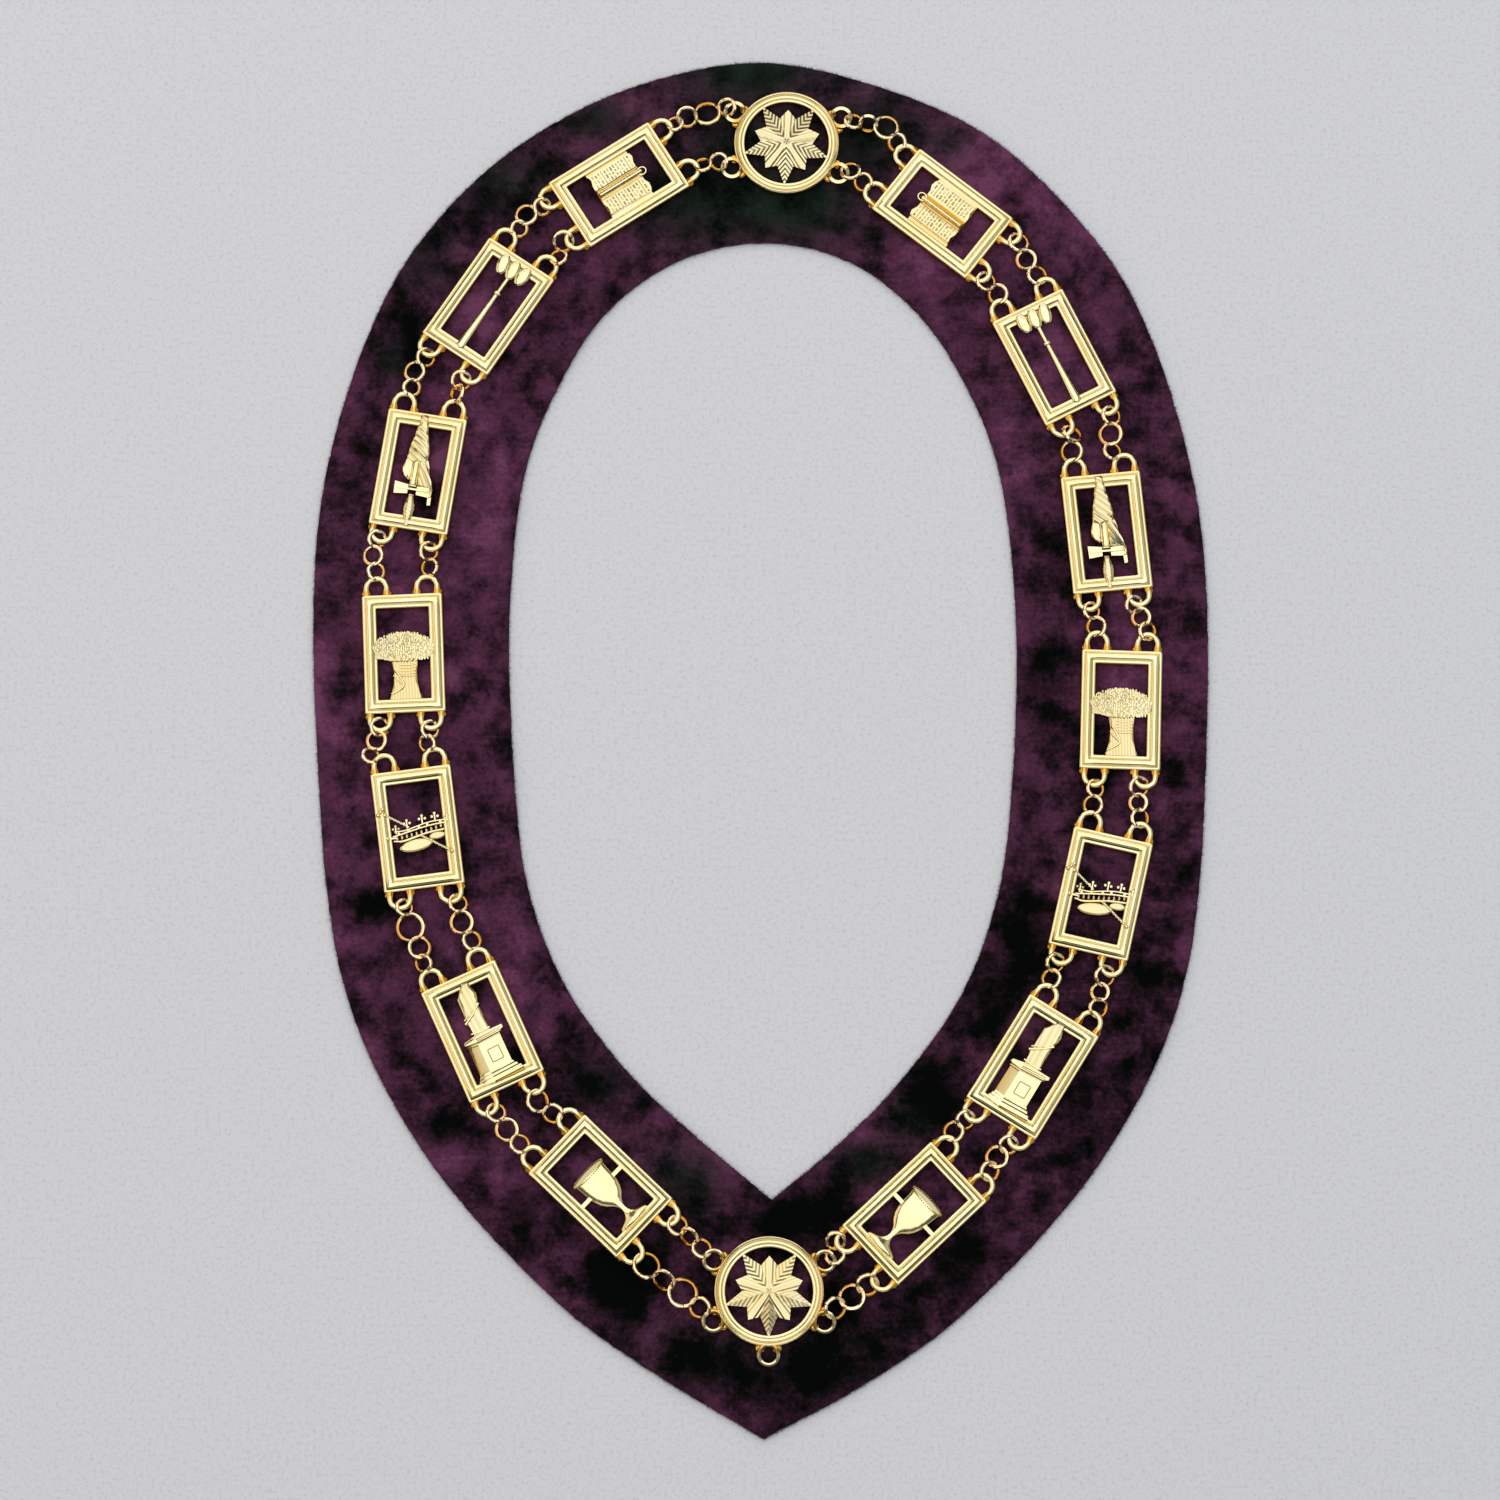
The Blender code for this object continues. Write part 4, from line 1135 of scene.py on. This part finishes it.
def ear_height(x, y):
    """The domed height of the grain, and 0 outside it."""
    fall = (x / 11.6) ** 2 + ((y - 2.4) / 5.6) ** 2
    return 6.25 - 0.75 * fall ** 2 if fall < 1.0 else 0.0


def sheaf():
    draw = random.Random(11)
    # The ground under the grains is painted darker, as the shade between them.
    mass = darkened(relief(EARS, 5.6, 0.3), 0.35)
    bundle = darkened(relief(STALKS, 4.75, 0.8, 3), 0.1)
    shapes = [mass, ribbed(bundle, 2, pitch=1.1, rise=0.18, patina_and_shade=0.35)]
    for row in range(17):
        for column in range(27):
            x = -11.2 + 0.86 * column + draw.uniform(-0.3, 0.3)
            y = -2.6 + 0.66 * row + draw.uniform(-0.25, 0.25)
            height = ear_height(x, y)
            if height:
                lean = math.degrees(math.atan2(x, y + 16.0)) + draw.uniform(-40, 40)
                # Each grain is darkened at random, and the grains on the left side more, as painted shade.
                shade = draw.choice((0.0, 0.0, 0.12, 0.4)) + (0.12 if x < -3.0 else 0.0)
                grain = darkened(ball((0.0, 0.0, 0.0), 0.8, 1.15, 0.6), shade)
                shapes.append(moved(grain, x, y, height - 0.2, -lean))
    for x in (5.6, 6.6, 7.6, 8.7, -9.6, -8.2):
        shapes.append(bar((x, -1.6), (x + 0.5, -3.0 + 0.1 * abs(x - 6.0)), 0.7, 5.0, 5.8))
    for y in (-4.3, -5.4, -6.5, -7.6, -8.6):
        shapes.append(wire(bent(((-1.6, y), (1.5, y - 0.2), (4.4, y + 0.1)), 5.05), 0.55))
    tie = ((-3.4, -6.2), (-1.2, -9.6), (-0.2, -12.2), (-1.8, -13.9), (-5.0, -15.4))
    shapes.append(wire(bent(tie, 5.35), 0.8))
    shapes.append(wire(bent(((-4.0, -8.4), (-2.6, -10.2), (-0.4, -12.0)), 5.2), 0.55))
    return shapes


# %% [markdown]
# The crown is seen from a little below: a rim of beads between two rails, five trefoils on the
# upper rail, and the oval of its cap under it. A sceptre runs from one long bar of the frame to the
# other, behind the rails and over the cap.


# %% Crown
def oval(x, y, wide, long, turn, steps=20):
    """Points round an oval of the given whole width and length."""
    lean = math.radians(turn)
    points = []
    for angle in turns(steps):
        across, up = wide / 2 * math.cos(angle), long / 2 * math.sin(angle)
        points.append((
            x + across * math.cos(lean) - up * math.sin(lean),
            y + across * math.sin(lean) + up * math.cos(lean),
        ))
    return points


def trefoil(x, y, size):
    """Three leaves on a short stalk."""
    shapes = [bar((x, y - 2.6 * size), (x, y), 0.6 * size, 4.6, 5.7)]
    for dx, dy in ((-0.95, -0.75), (0.95, -0.75), (0.0, 0.25)):
        shapes.append(ball((x + dx * size, y + dy * size, 5.4), 1.15 * size, 1.15 * size, 1.1))
    return shapes


def crown():
    lower = ((-9.2, -3.9), (-6.2, -4.2), (-1.0, -3.1), (4.5, -2.0), (9.9, -1.5))
    middle = ((-9.4, -2.2), (-4.8, -1.3), (0.1, -0.3), (5.6, 0.6), (10.3, 0.9))
    upper = ((-8.6, -0.4), (-4.5, -0.3), (0.1, 0.8), (5.0, 1.8), (10.5, 2.0))
    shapes = [
        darkened(relief(oval(-1.0, -6.2, 13.4, 5.0, 7), 5.8, 1.1, 4), 0.15),
        darkened(relief(oval(7.0, -3.5, 6.4, 3.2, 4), 5.5, 0.8, 3), 0.2),
        wire(bent(lower, 5.5), 0.85), wire(bent(middle, 5.6), 0.85), wire(bent(upper, 5.5), 0.75),
    ]
    for step in range(10):
        part = (step + 0.5) / 10
        x = -8.8 + 18.6 * part
        y = -3.1 + 3.2 * part - 0.35 * math.sin(math.pi * part)
        shapes.append(ball((x, y, 5.3), 0.95, 1.9, 1.1))
    for x, y in ((-7.1, -1.2), (-3.4, -0.6), (0.6, 0.5), (3.8, 1.1), (8.7, 1.5)):
        shapes.append(ball((x, y, 5.4), 1.3, 1.3, 1.0))
    for x, y, size in (
        (-8.0, 1.4, 1.05), (-3.7, 3.1, 1.1), (2.1, 4.2, 1.15), (6.9, 4.5, 1.15), (11.4, 4.0, 1.05),
    ):
        shapes += trefoil(x, y, size)
    for start, end, height in (((-13.0, 7.5), (-3.0, 0.8), 5.0), ((1.0, -2.8), (11.6, -10.0), 5.7)):
        rod_path = [(*start, height), (*end, height)]
        shapes.append(darkened(wire(rod_path, 1.0), 0.25))
        run = Vector(end) - Vector(start)
        for step in range(9):
            x, y = Vector(start) + run * (step + 0.5) / 9
            shapes.append(ball((x, y, height), 1.25, 1.25, 1.2))
    for x, y in ((-12.9, 7.7), (-13.9, 6.6), (-12.0, 8.6), (-11.4, 6.3), (11.9, -10.2), (-11.4, -2.6)):
        shapes.append(ball((x, y, 5.6), 1.7, 1.7, 1.8, fineness=2))
    shapes.append(bar((-11.8, -2.6), (-8.0, -2.7), 0.9, 4.6, 5.6))
    return shapes


# %% [markdown]
# The broken column leans on a pedestal. The pedestal shows two faces, a broad bright one with a
# square panel and a narrow one that turns away and is painted darker for shade, under a cornice and
# over three flaring steps.


# %% Broken column
PEDESTAL_CORNER = -3.4
SLOPED_ABOVE = 4.5


def sloped(shape, from_x, fall):
    """The shape with its upper side falling away to the left of from_x."""
    for vert in shape.verts:
        if vert.co.z > SLOPED_ABOVE:
            vert.co.z -= max(0.0, from_x - vert.co.x) * fall
    return shape


def column():
    shaft = (
        (-3.8, -0.8), (-4.1, 3.0), (-4.8, 5.2), (-4.1, 7.0), (-4.0, 14.6), (-2.6, 16.4),
        (-0.4, 19.3), (2.6, 18.9), (2.9, 17.0), (3.9, 14.2), (3.5, 12.0), (2.7, 10.2), (2.7, 4.0),
        (3.2, -0.8),
    )
    narrow_face = ((-7.3, -2.0), (-3.4, -2.6), (-3.4, -15.2), (-7.5, -14.6))
    broad_face = ((-3.5, -2.6), (5.6, -2.2), (5.7, -15.0), (-3.5, -15.4))
    cornice = (
        (-8.4, -2.3), (-7.8, -1.2), (-3.6, -0.4), (7.6, -0.3), (7.7, -1.6), (5.8, -2.6),
        (-3.5, -3.2), (-7.3, -2.9),
    )
    round_shaft = sloped(darkened(relief(shaft, 5.9, 1.0, 3), 0.12), 0.0, 0.12)
    shapes = [
        ribbed(round_shaft, 4, pitch=2.2, rise=0.2, patina_and_shade=0.35),
        # The narrow face is painted darker, as the shade on the side that turns away.
        darkened(sloped(relief(narrow_face, 4.9, 0.2), PEDESTAL_CORNER, 0.2), 0.42),
        relief(broad_face, 6.1, 0.2),
        sloped(relief(cornice, 6.5, 0.35), PEDESTAL_CORNER, 0.3),
        wire([(-7.6, -3.5, 4.6), (-3.5, -3.8, 6.1), (5.7, -3.1, 6.1)], 0.45),
    ]
    for low_y, high_y, left, right, top in (
        (-16.1, -14.7, -7.7, 6.6, 6.25), (-17.4, -15.9, -8.3, 7.6, 6.4), (-19.3, -17.2, -9.0, 8.8, 6.5),
    ):
        step = (
            (left + 0.4, high_y + 0.5), (PEDESTAL_CORNER, high_y), (right - 0.6, high_y + 0.5),
            (right, low_y + 0.6), (-3.2, low_y), (left, low_y + 0.5),
        )
        shapes.append(sloped(relief(step, top, 0.3), PEDESTAL_CORNER, 0.3))
        joint = bar((-3.2, low_y + 0.25), (right, low_y + 0.9), 0.55, 5.6, top + 0.12)
        shapes.append(darkened(joint, 1.0))
    for y in (-1.2, -1.9, -2.7):
        shapes.append(darkened(bar((PEDESTAL_CORNER, y - 0.7), (6.6, y), 0.3, 6.0, 6.6), 0.9))
    corners = ((-1.1, -7.2), (3.3, -7.0), (3.4, -12.0), (-1.0, -12.2))
    for start, end in zip(corners, corners[1:] + corners[:1]):
        shapes.append(darkened(bar(start, end, 0.55, 5.9, 6.2), 0.75))
    for path, thick in (
        (((-4.7, 4.8), (-1.6, 6.6), (0.8, 8.4), (2.9, 10.2)), 1.0),
        (((-4.5, 6.2), (-1.8, 7.9), (0.6, 9.7), (2.4, 11.4)), 0.5),
    ):
        shapes.append(wire(bent(path, 5.85), thick))
    shapes.append(wire(bent(((-4.2, 0.6), (-0.5, 0.2), (3.2, 0.5)), 5.6), 0.8))
    return shapes


# %% [markdown]
# The cup is turned and pressed flat, with a thin stem and a spreading foot. Its mouth is an oval
# painted dark for the shade inside it, within a roped rim. Being too narrow for its frame, it is
# pegged to both long bars.


# %% Cup
def cup():
    bowl = (
        (0.0, 5.6), (6.9, 5.5), (6.85, 4.8), (6.65, 2.8), (6.5, 0.0), (6.2, -2.4), (5.4, -5.0),
        (4.1, -7.1), (2.2, -8.7), (1.2, -10.2), (0.9, -11.6), (1.0, -13.0), (1.7, -14.2),
        (3.4, -15.2), (5.6, -16.1), (6.7, -16.9), (6.8, -17.5), (5.6, -18.2), (0.0, -18.6),
    )
    shapes = [turned(bowl, 48, 0.32, 4.7)]
    # The mouth is painted dark, as the shade inside the cup.
    shapes.append(darkened(relief(oval(0.0, 6.2, 14.0, 2.4, 0), 6.5, 0.3), 0.5))
    for x, y in oval(0.0, 6.3, 14.4, 2.8, 0, 46):
        shapes.append(ball((x, y, 6.6), 0.95, 0.7, 1.0))
    for side in (-1, 1):
        shapes.append(bar((side * 5.0, -0.6), (side * 10.6, -0.6), 2.3, 4.0, 5.6, 0.35))
    foot_ring = []
    for angle in turns(20):
        x = 5.9 * math.cos(angle)
        foot_ring.append((x, -17.4 + 0.9 * math.sin(angle), 5.9 - 0.05 * abs(x)))
    shapes.append(wire(foot_ring, 0.45, closed_path=True))
    return shapes


# %% Plaques in place
PLAQUES = (
    # emblem, its maker, clockwise turn on the left side and on the right side in degrees, and the
    # painted shade of the grooves that face the chest
    ("book", book, 57.5, -52.0, 0.45),
    ("gavel", gavel, 34.0, -26.5, 0.45),
    ("sword", sword, 9.0, -5.5, 0.3),
    ("sheaf", sheaf, -2.5, 2.0, 0.35),
    ("crown", crown, -7.5, 13.0, 1.0),
    ("column", column, -24.5, 32.0, 1.0),
    ("cup", cup, -46.5, 47.0, 0.7),
)


def middle_of(node_name):
    """The middle of a CAD node's box, in millimetres."""
    low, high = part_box(node_name)
    return (low + high) / 2 / MM


places = {}
for emblem, make, left_turn, right_turn, chest_shade in PLAQUES:
    for side, turn in (("left", left_turn), ("right", right_turn)):
        name = f"plaque_{emblem}_{side}"
        x, y, _ = middle_of(name)
        places[name] = (x, y, turn)
        casting = gathered([plaque_frame(chest_shade), *plaque_loops(), *make()])
        piece = finished(f"cast_{emblem}_{side}", moved(casting, x, y, 0.0, -turn), cast_gold)
        in_place(piece, name)
print("plaques:", len(places))

# %% [markdown]
# ## Medallions
# A moulded ring holds a star of ten points: five long rays that reach it and five short lobes
# between them. Every ray and lobe has a ridge from the middle to its tip, so the star is twenty
# wedges, and each is engraved with its own fine ribs. Outside the ring stand round eyes for the
# chains, each a closed wire on two beads of metal, and the chest medallion has one more at its
# lower end for a pendant.

# %% Medallions
MEDALLION_OUTER = 20.0
MEDALLION_SECTION = (
    # radius, height above the back
    (16.0, 0.0), (16.0, 2.4), (16.12, 2.75), (16.4, 2.95), (16.75, 2.98), (17.05, 2.88), (17.13, 2.7),
    (17.22, 2.7), (17.35, 2.92), (17.7, 3.15), (18.05, 3.2), (18.4, 3.12), (18.62, 2.95), (18.7, 2.7),
    (18.78, 2.7), (18.9, 3.0), (19.2, 3.36), (19.6, 3.5), (19.95, 3.35), (20.2, 2.95), (20.3, 2.4),
    (20.3, 0.0),
)
STAR_RAY = 17.0
STAR_LOBE = 12.9
STAR_NOTCH = 9.9
STAR_RADII = (STAR_RAY, STAR_NOTCH, STAR_LOBE, STAR_NOTCH) * 5
STAR_TIPS = {STAR_RAY: 5.5, STAR_NOTCH: 5.15, STAR_LOBE: 5.3}
STAR_PEAK = 6.6
RAY_RIBS = 50.0
LOBE_RIBS = 88.0
EYE_ANGLE = 28.5
EYE_OUT = 23.2
EYE_RADIUS = 3.6
EYE_WIRE = 1.8
EYE_DEEP = 22.6
EYE_FADE = 1.6
EYE_ROOT_OUT = 20.9
EYE_ROOT_LEAN = 0.15
EYE_ROOT_HEIGHT = 3.3
EYE_ROOT_SIZE = (4.0, 4.0, 2.1)


def medallion_ring():
    bm = bmesh.new()
    points = section_points(bm, MEDALLION_SECTION)
    spun(bm, points + joined(bm, points), (0, 0, 1), 72)
    return closed(bm)


def star_wedge(near, far, across):
    """One facet of the star, from the middle to two neighbouring points, engraved across."""
    corners = [(0.0, 0.0, STAR_PEAK), near, far]
    bm = bmesh.new()
    face = bm.faces.new([bm.verts.new(corner) for corner in corners])
    for vert in points_in(bmesh.ops.extrude_face_region(bm, geom=[face])["geom"]):
        vert.co.z = EMBLEM_BASE
    return ribbed(closed(bm), across, pitch=1.3, rise=0.25, patina_and_shade=0.32)


def star():
    """A ray points to the chest, and the lobe between the two upper rays to the neck."""
    points = []
    for index, radius in enumerate(STAR_RADII):
        angle = -math.pi / 2 + math.tau * index / len(STAR_RADII)
        points.append((radius * math.cos(angle), radius * math.sin(angle), STAR_TIPS[radius]))
    shapes = []
    for index, (near, far) in enumerate(zip(points, points[1:] + points[:1])):
        tip = near if index % 2 == 0 else far
        side = 1.0 if index % 2 == 0 else -1.0
        axis = math.degrees(math.atan2(tip[1], tip[0]))
        is_ray = index % 4 in (0, 3)
        across = axis - side * (RAY_RIBS if is_ray else LOBE_RIBS)
        shapes.append(star_wedge(near, far, across))
    return shapes


def eye_shade(point):
    """How much deep gold is painted on an eye as shade: most beside the ring and on its underside."""
    beside = (EYE_DEEP - math.hypot(point.x, point.y)) / EYE_FADE
    return max(beside, (LOOP_HEIGHT + UNDERSIDE - point.z) / UNDERSIDE_FADE)


def medallion(has_eye):
    """A ring with its star and an eye for each strand. With has_eye it takes a pendant too."""
    shapes = [medallion_ring(), *star()]
    angles = [EYE_ANGLE, -EYE_ANGLE, 180.0 - EYE_ANGLE, 180.0 + EYE_ANGLE]
    if has_eye:
        angles.append(-90.0)
    for angle in angles:
        lean = math.radians(angle)
        x, y = EYE_OUT * math.cos(lean), EYE_OUT * math.sin(lean)
        eye = [
            (x + EYE_RADIUS * math.cos(a), y + EYE_RADIUS * math.sin(a), LOOP_HEIGHT + 0.2)
            for a in turns(28)
        ]
        wound = wire(eye, EYE_WIRE, closed_path=True, fineness=3)
        # The eye is painted deep gold as shade beside the ring and underneath.
        shapes.append(marked(wound, "recess_shade", eye_shade))
        for side in (-1, 1):
            root = lean + side * EYE_ROOT_LEAN
            x, y = EYE_ROOT_OUT * math.cos(root), EYE_ROOT_OUT * math.sin(root)
            shapes.append(root_bead((x, y, EYE_ROOT_HEIGHT), EYE_ROOT_SIZE))
    return gathered(shapes)


for name, turn, has_eye in (("medallion_neck", 3.0, False), ("medallion_chest", 0.5, True)):
    x, y, _ = middle_of(name)
    if has_eye:
        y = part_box(name)[1].y / MM - MEDALLION_OUTER
    places[name] = (x, y, turn)
    casting = moved(medallion(has_eye), x, y, 0.0, -turn)
    in_place(finished(f"cast_{name}", casting, cast_gold), name)
print("castings:", len(places))

# %% [markdown]
# ## Rings
# The castings hang together by open jump rings of several sizes, and no two runs lie alike. A table
# gives each ring's place along its run from the upper loop to the lower one, how far it lies
# aside, outwards being positive, its outside diameter, and its roll about the run. Rings next to
# each other roll opposite ways, so that each passes over its neighbour on one side and under it on
# the other.

# %% Ring table
RING_WIRE = 1.5
RING_GAP = 0.22
END_ROLL = 26.0
MIDDLE_ROLL = 16.0
ON_EDGE = 46.0
ROLL_SPREAD = 3.0
OUTWARDS = {"left": -1.0, "right": 1.0}
EMBLEMS = ("book", "gavel", "sword", "sheaf", "crown", "column", "cup")
RUNS = {
    # (side, gap, strand): rings as (along, aside, diameter), with "edge" for a ring on its edge
    ("left", 1, "outer"): ((2.5, 2.6, 7.7), (10.5, 2.0, 10.7), (18.3, 2.6, 8.8), (23.4, 1.1, 7.2)),
    ("left", 1, "inner"): ((4.8, 2.7, 7.7), (11.0, 1.8, 7.4)),
    ("left", 2, "outer"): ((4.5, -0.4, 7.6), (11.1, 1.5, 9.2), (16.8, -0.6, 7.4)),
    ("left", 2, "inner"): ((4.3, 2.7, 8.8), (10.0, -0.6, 7.7)),
    ("left", 3, "outer"): ((4.9, -0.3, 8.1), (11.5, 1.4, 8.8), (17.7, -0.1, 7.6)),
    ("left", 3, "inner"): ((4.3, 2.3, 8.5), (9.6, 1.6, 8.2, "edge")),
    ("left", 4, "outer"): ((3.0, 1.5, 7.7), (9.3, 2.4, 8.5), (15.3, 0.7, 7.6)),
    ("left", 4, "inner"): ((4.6, 0.6, 8.1), (10.7, -0.3, 7.8)),
    ("left", 5, "outer"): ((2.6, 0.5, 8.1), (7.4, 2.0, 8.5), (12.9, 4.7, 7.4)),
    ("left", 5, "inner"): ((4.2, 0.7, 7.7), (9.4, 2.3, 7.4)),
    ("left", 6, "outer"): ((3.9, -0.3, 7.4), (11.7, 0.2, 11.5), (19.9, -0.2, 9.2), (26.0, 0.5, 7.7)),
    ("left", 6, "inner"): ((5.1, -0.9, 8.1), (12.3, 0.5, 9.6), (20.0, -0.4, 8.1)),
    ("left", 7, "outer"): ((4.7, -0.6, 8.1), (12.1, 0.5, 9.4), (19.2, 0.4, 8.3)),
    ("left", 7, "inner"): ((6.0, 3.5, 9.6), (13.2, 2.6, 8.3)),
    ("left", 8, "outer"): ((7.2, 0.3, 11.1), (15.6, 0.3, 9.6, "edge"), (23.8, -0.6, 11.8), (32.0, -0.6, 8.8)),
    ("left", 8, "inner"): ((5.3, 0.3, 8.5), (11.3, 0.2, 8.4, "edge"), (17.6, 0.0, 8.3)),
    ("right", 1, "outer"): ((4.8, 1.1, 7.8), (10.2, 3.2, 8.0, "edge"), (16.8, 5.6, 10.4), (23.4, 2.6, 8.0)),
    ("right", 1, "inner"): ((3.6, 3.0, 8.5), (10.0, 1.5, 8.1)),
    ("right", 2, "outer"): ((4.6, 0.9, 8.8), (12.0, -0.3, 8.6), (19.3, -0.1, 8.8)),
    ("right", 2, "inner"): ((4.5, 0.2, 8.5), (11.0, 1.8, 8.5)),
    ("right", 3, "outer"): ((4.8, 0.3, 8.5), (11.6, -1.8, 9.6), (18.2, -3.0, 7.9)),
    ("right", 3, "inner"): ((4.0, 2.6, 8.8, "edge"), (10.5, 0.8, 9.2)),
    ("right", 4, "outer"): ((3.4, -2.6, 7.7), (8.6, -0.7, 8.1), (14.2, 0.7, 8.1)),
    ("right", 4, "inner"): ((4.4, 0.2, 7.6), (10.6, 0.8, 8.5)),
    ("right", 5, "outer"): ((4.0, -2.0, 8.5), (10.0, -1.7, 7.8), (15.8, -0.6, 8.3)),
    ("right", 5, "inner"): ((5.0, 0.8, 7.8), (11.2, 0.4, 8.3)),
    ("right", 6, "outer"): ((4.8, -0.9, 8.8), (11.0, -0.5, 7.8), (16.8, 0.9, 8.3)),
    ("right", 6, "inner"): ((4.1, -1.0, 8.1), (10.1, -0.4, 8.2)),
    ("right", 7, "outer"): ((4.4, -1.6, 8.1), (10.6, -2.1, 9.2), (16.4, -1.0, 8.3)),
    ("right", 7, "inner"): ((4.8, -0.8, 8.1), (11.0, -1.6, 8.5)),
    ("right", 8, "outer"): ((5.6, -1.6, 9.2), (12.9, -1.4, 10.4), (20.2, -1.8, 9.2)),
    ("right", 8, "inner"): ((3.0, -2.9, 8.1), (6.8, 0.9, 8.1)),
}
CHAINS = {
    side: ("medallion_neck", *(f"plaque_{emblem}_{side}" for emblem in EMBLEMS), "medallion_chest")
    for side in ("left", "right")
}


# %% Where the loops are
def loop_centre(name, side, strand, is_top):
    """The middle of one of a casting's loops."""
    centre_x, centre_y, turn = places[name]
    if name.startswith("medallion"):
        rises = (strand == "outer") == (name == "medallion_neck")
        lean = math.radians(EYE_ANGLE if rises else -EYE_ANGLE)
        x, y = OUTWARDS[side] * EYE_OUT * math.cos(lean), EYE_OUT * math.sin(lean)
    else:
        x = OUTWARDS[side] * LOOP_APART / 2 * (1.0 if strand == "outer" else -1.0)
        y = (PLAQUE_LONG / 2 + LOOP_OUT) * (1.0 if is_top else -1.0)
    place = Matrix.Rotation(-math.radians(turn), 2) @ Vector((x, y))
    return place + Vector((centre_x, centre_y))


def jump_ring(diameter, seam):
    """A ring of round wire about the Z axis, with a fine gap where its ends meet."""
    bm = bmesh.new()
    radius = (diameter - RING_WIRE) / 2
    section = Matrix.Rotation(seam, 4, "Z") @ Matrix.Translation((radius, 0.0, 0.0))
    section = section @ Matrix.Rotation(math.pi / 2, 4, "X")
    bmesh.ops.create_circle(bm, segments=8, radius=RING_WIRE / 2, matrix=section)
    spun(bm, bm.verts[:] + bm.edges[:], (0, 0, 1), 26, math.tau - RING_GAP / radius)
    bmesh.ops.holes_fill(bm, edges=[edge for edge in bm.edges if edge.is_boundary])
    return closed(bm)


# %% Runs of rings
def ring_run(rings, start, end, outwards, draw):
    """The rings of one run, between the middles of its two loops."""
    run = end - start
    lie = Matrix.Translation((*start, 0.0)) @ Matrix.Rotation(math.atan2(run.y, run.x), 4, "Z")
    centres = [Vector((along, aside * outwards)) for along, aside, *_ in rings]
    held = [Vector((0.0, 0.0)), *centres, Vector((run.length, 0.0))]
    shapes = []
    for index, (ring, centre) in enumerate(zip(rings, centres)):
        before, after = held[index], held[index + 2]
        if index == 0:
            along = centre - before
        elif index == len(rings) - 1:
            along = after - centre
        else:
            along = after - before
        is_end = index in (0, len(rings) - 1)
        roll = ON_EDGE if "edge" in ring else END_ROLL if is_end else MIDDLE_ROLL
        roll += draw.uniform(-ROLL_SPREAD, ROLL_SPREAD)
        roll = math.radians(roll) * (1 if index % 2 else -1)
        reach = (ring[2] - RING_WIRE) / 2 * math.sin(abs(roll)) + RING_WIRE / 2
        height = max(CHAIN_HEIGHT, METAL_BASE + reach)
        bm = jump_ring(ring[2], draw.uniform(0.0, math.tau))
        heading = Matrix.Rotation(math.atan2(along.y, along.x), 4, "Z")
        stand = Matrix.Translation((*centre, height)) @ heading
        bmesh.ops.transform(bm, verts=bm.verts, matrix=lie @ stand @ Matrix.Rotation(roll, 4, "X"))
        shapes.append(bm)
    return gathered(shapes)


draw = random.Random(5)
ring_count = 0
for (side, gap, strand), rings in RUNS.items():
    start = loop_centre(CHAINS[side][gap - 1], side, strand, is_top=False)
    end = loop_centre(CHAINS[side][gap], side, strand, is_top=True)
    run = ring_run(rings, start, end, OUTWARDS[side], draw)
    piece = finished(f"rings_{side}_{gap}_{strand}", run, ring_gold)
    in_place(piece, f"links_{side}_{gap}_{strand}")
    ring_count += len(rings)
print("rings:", ring_count)
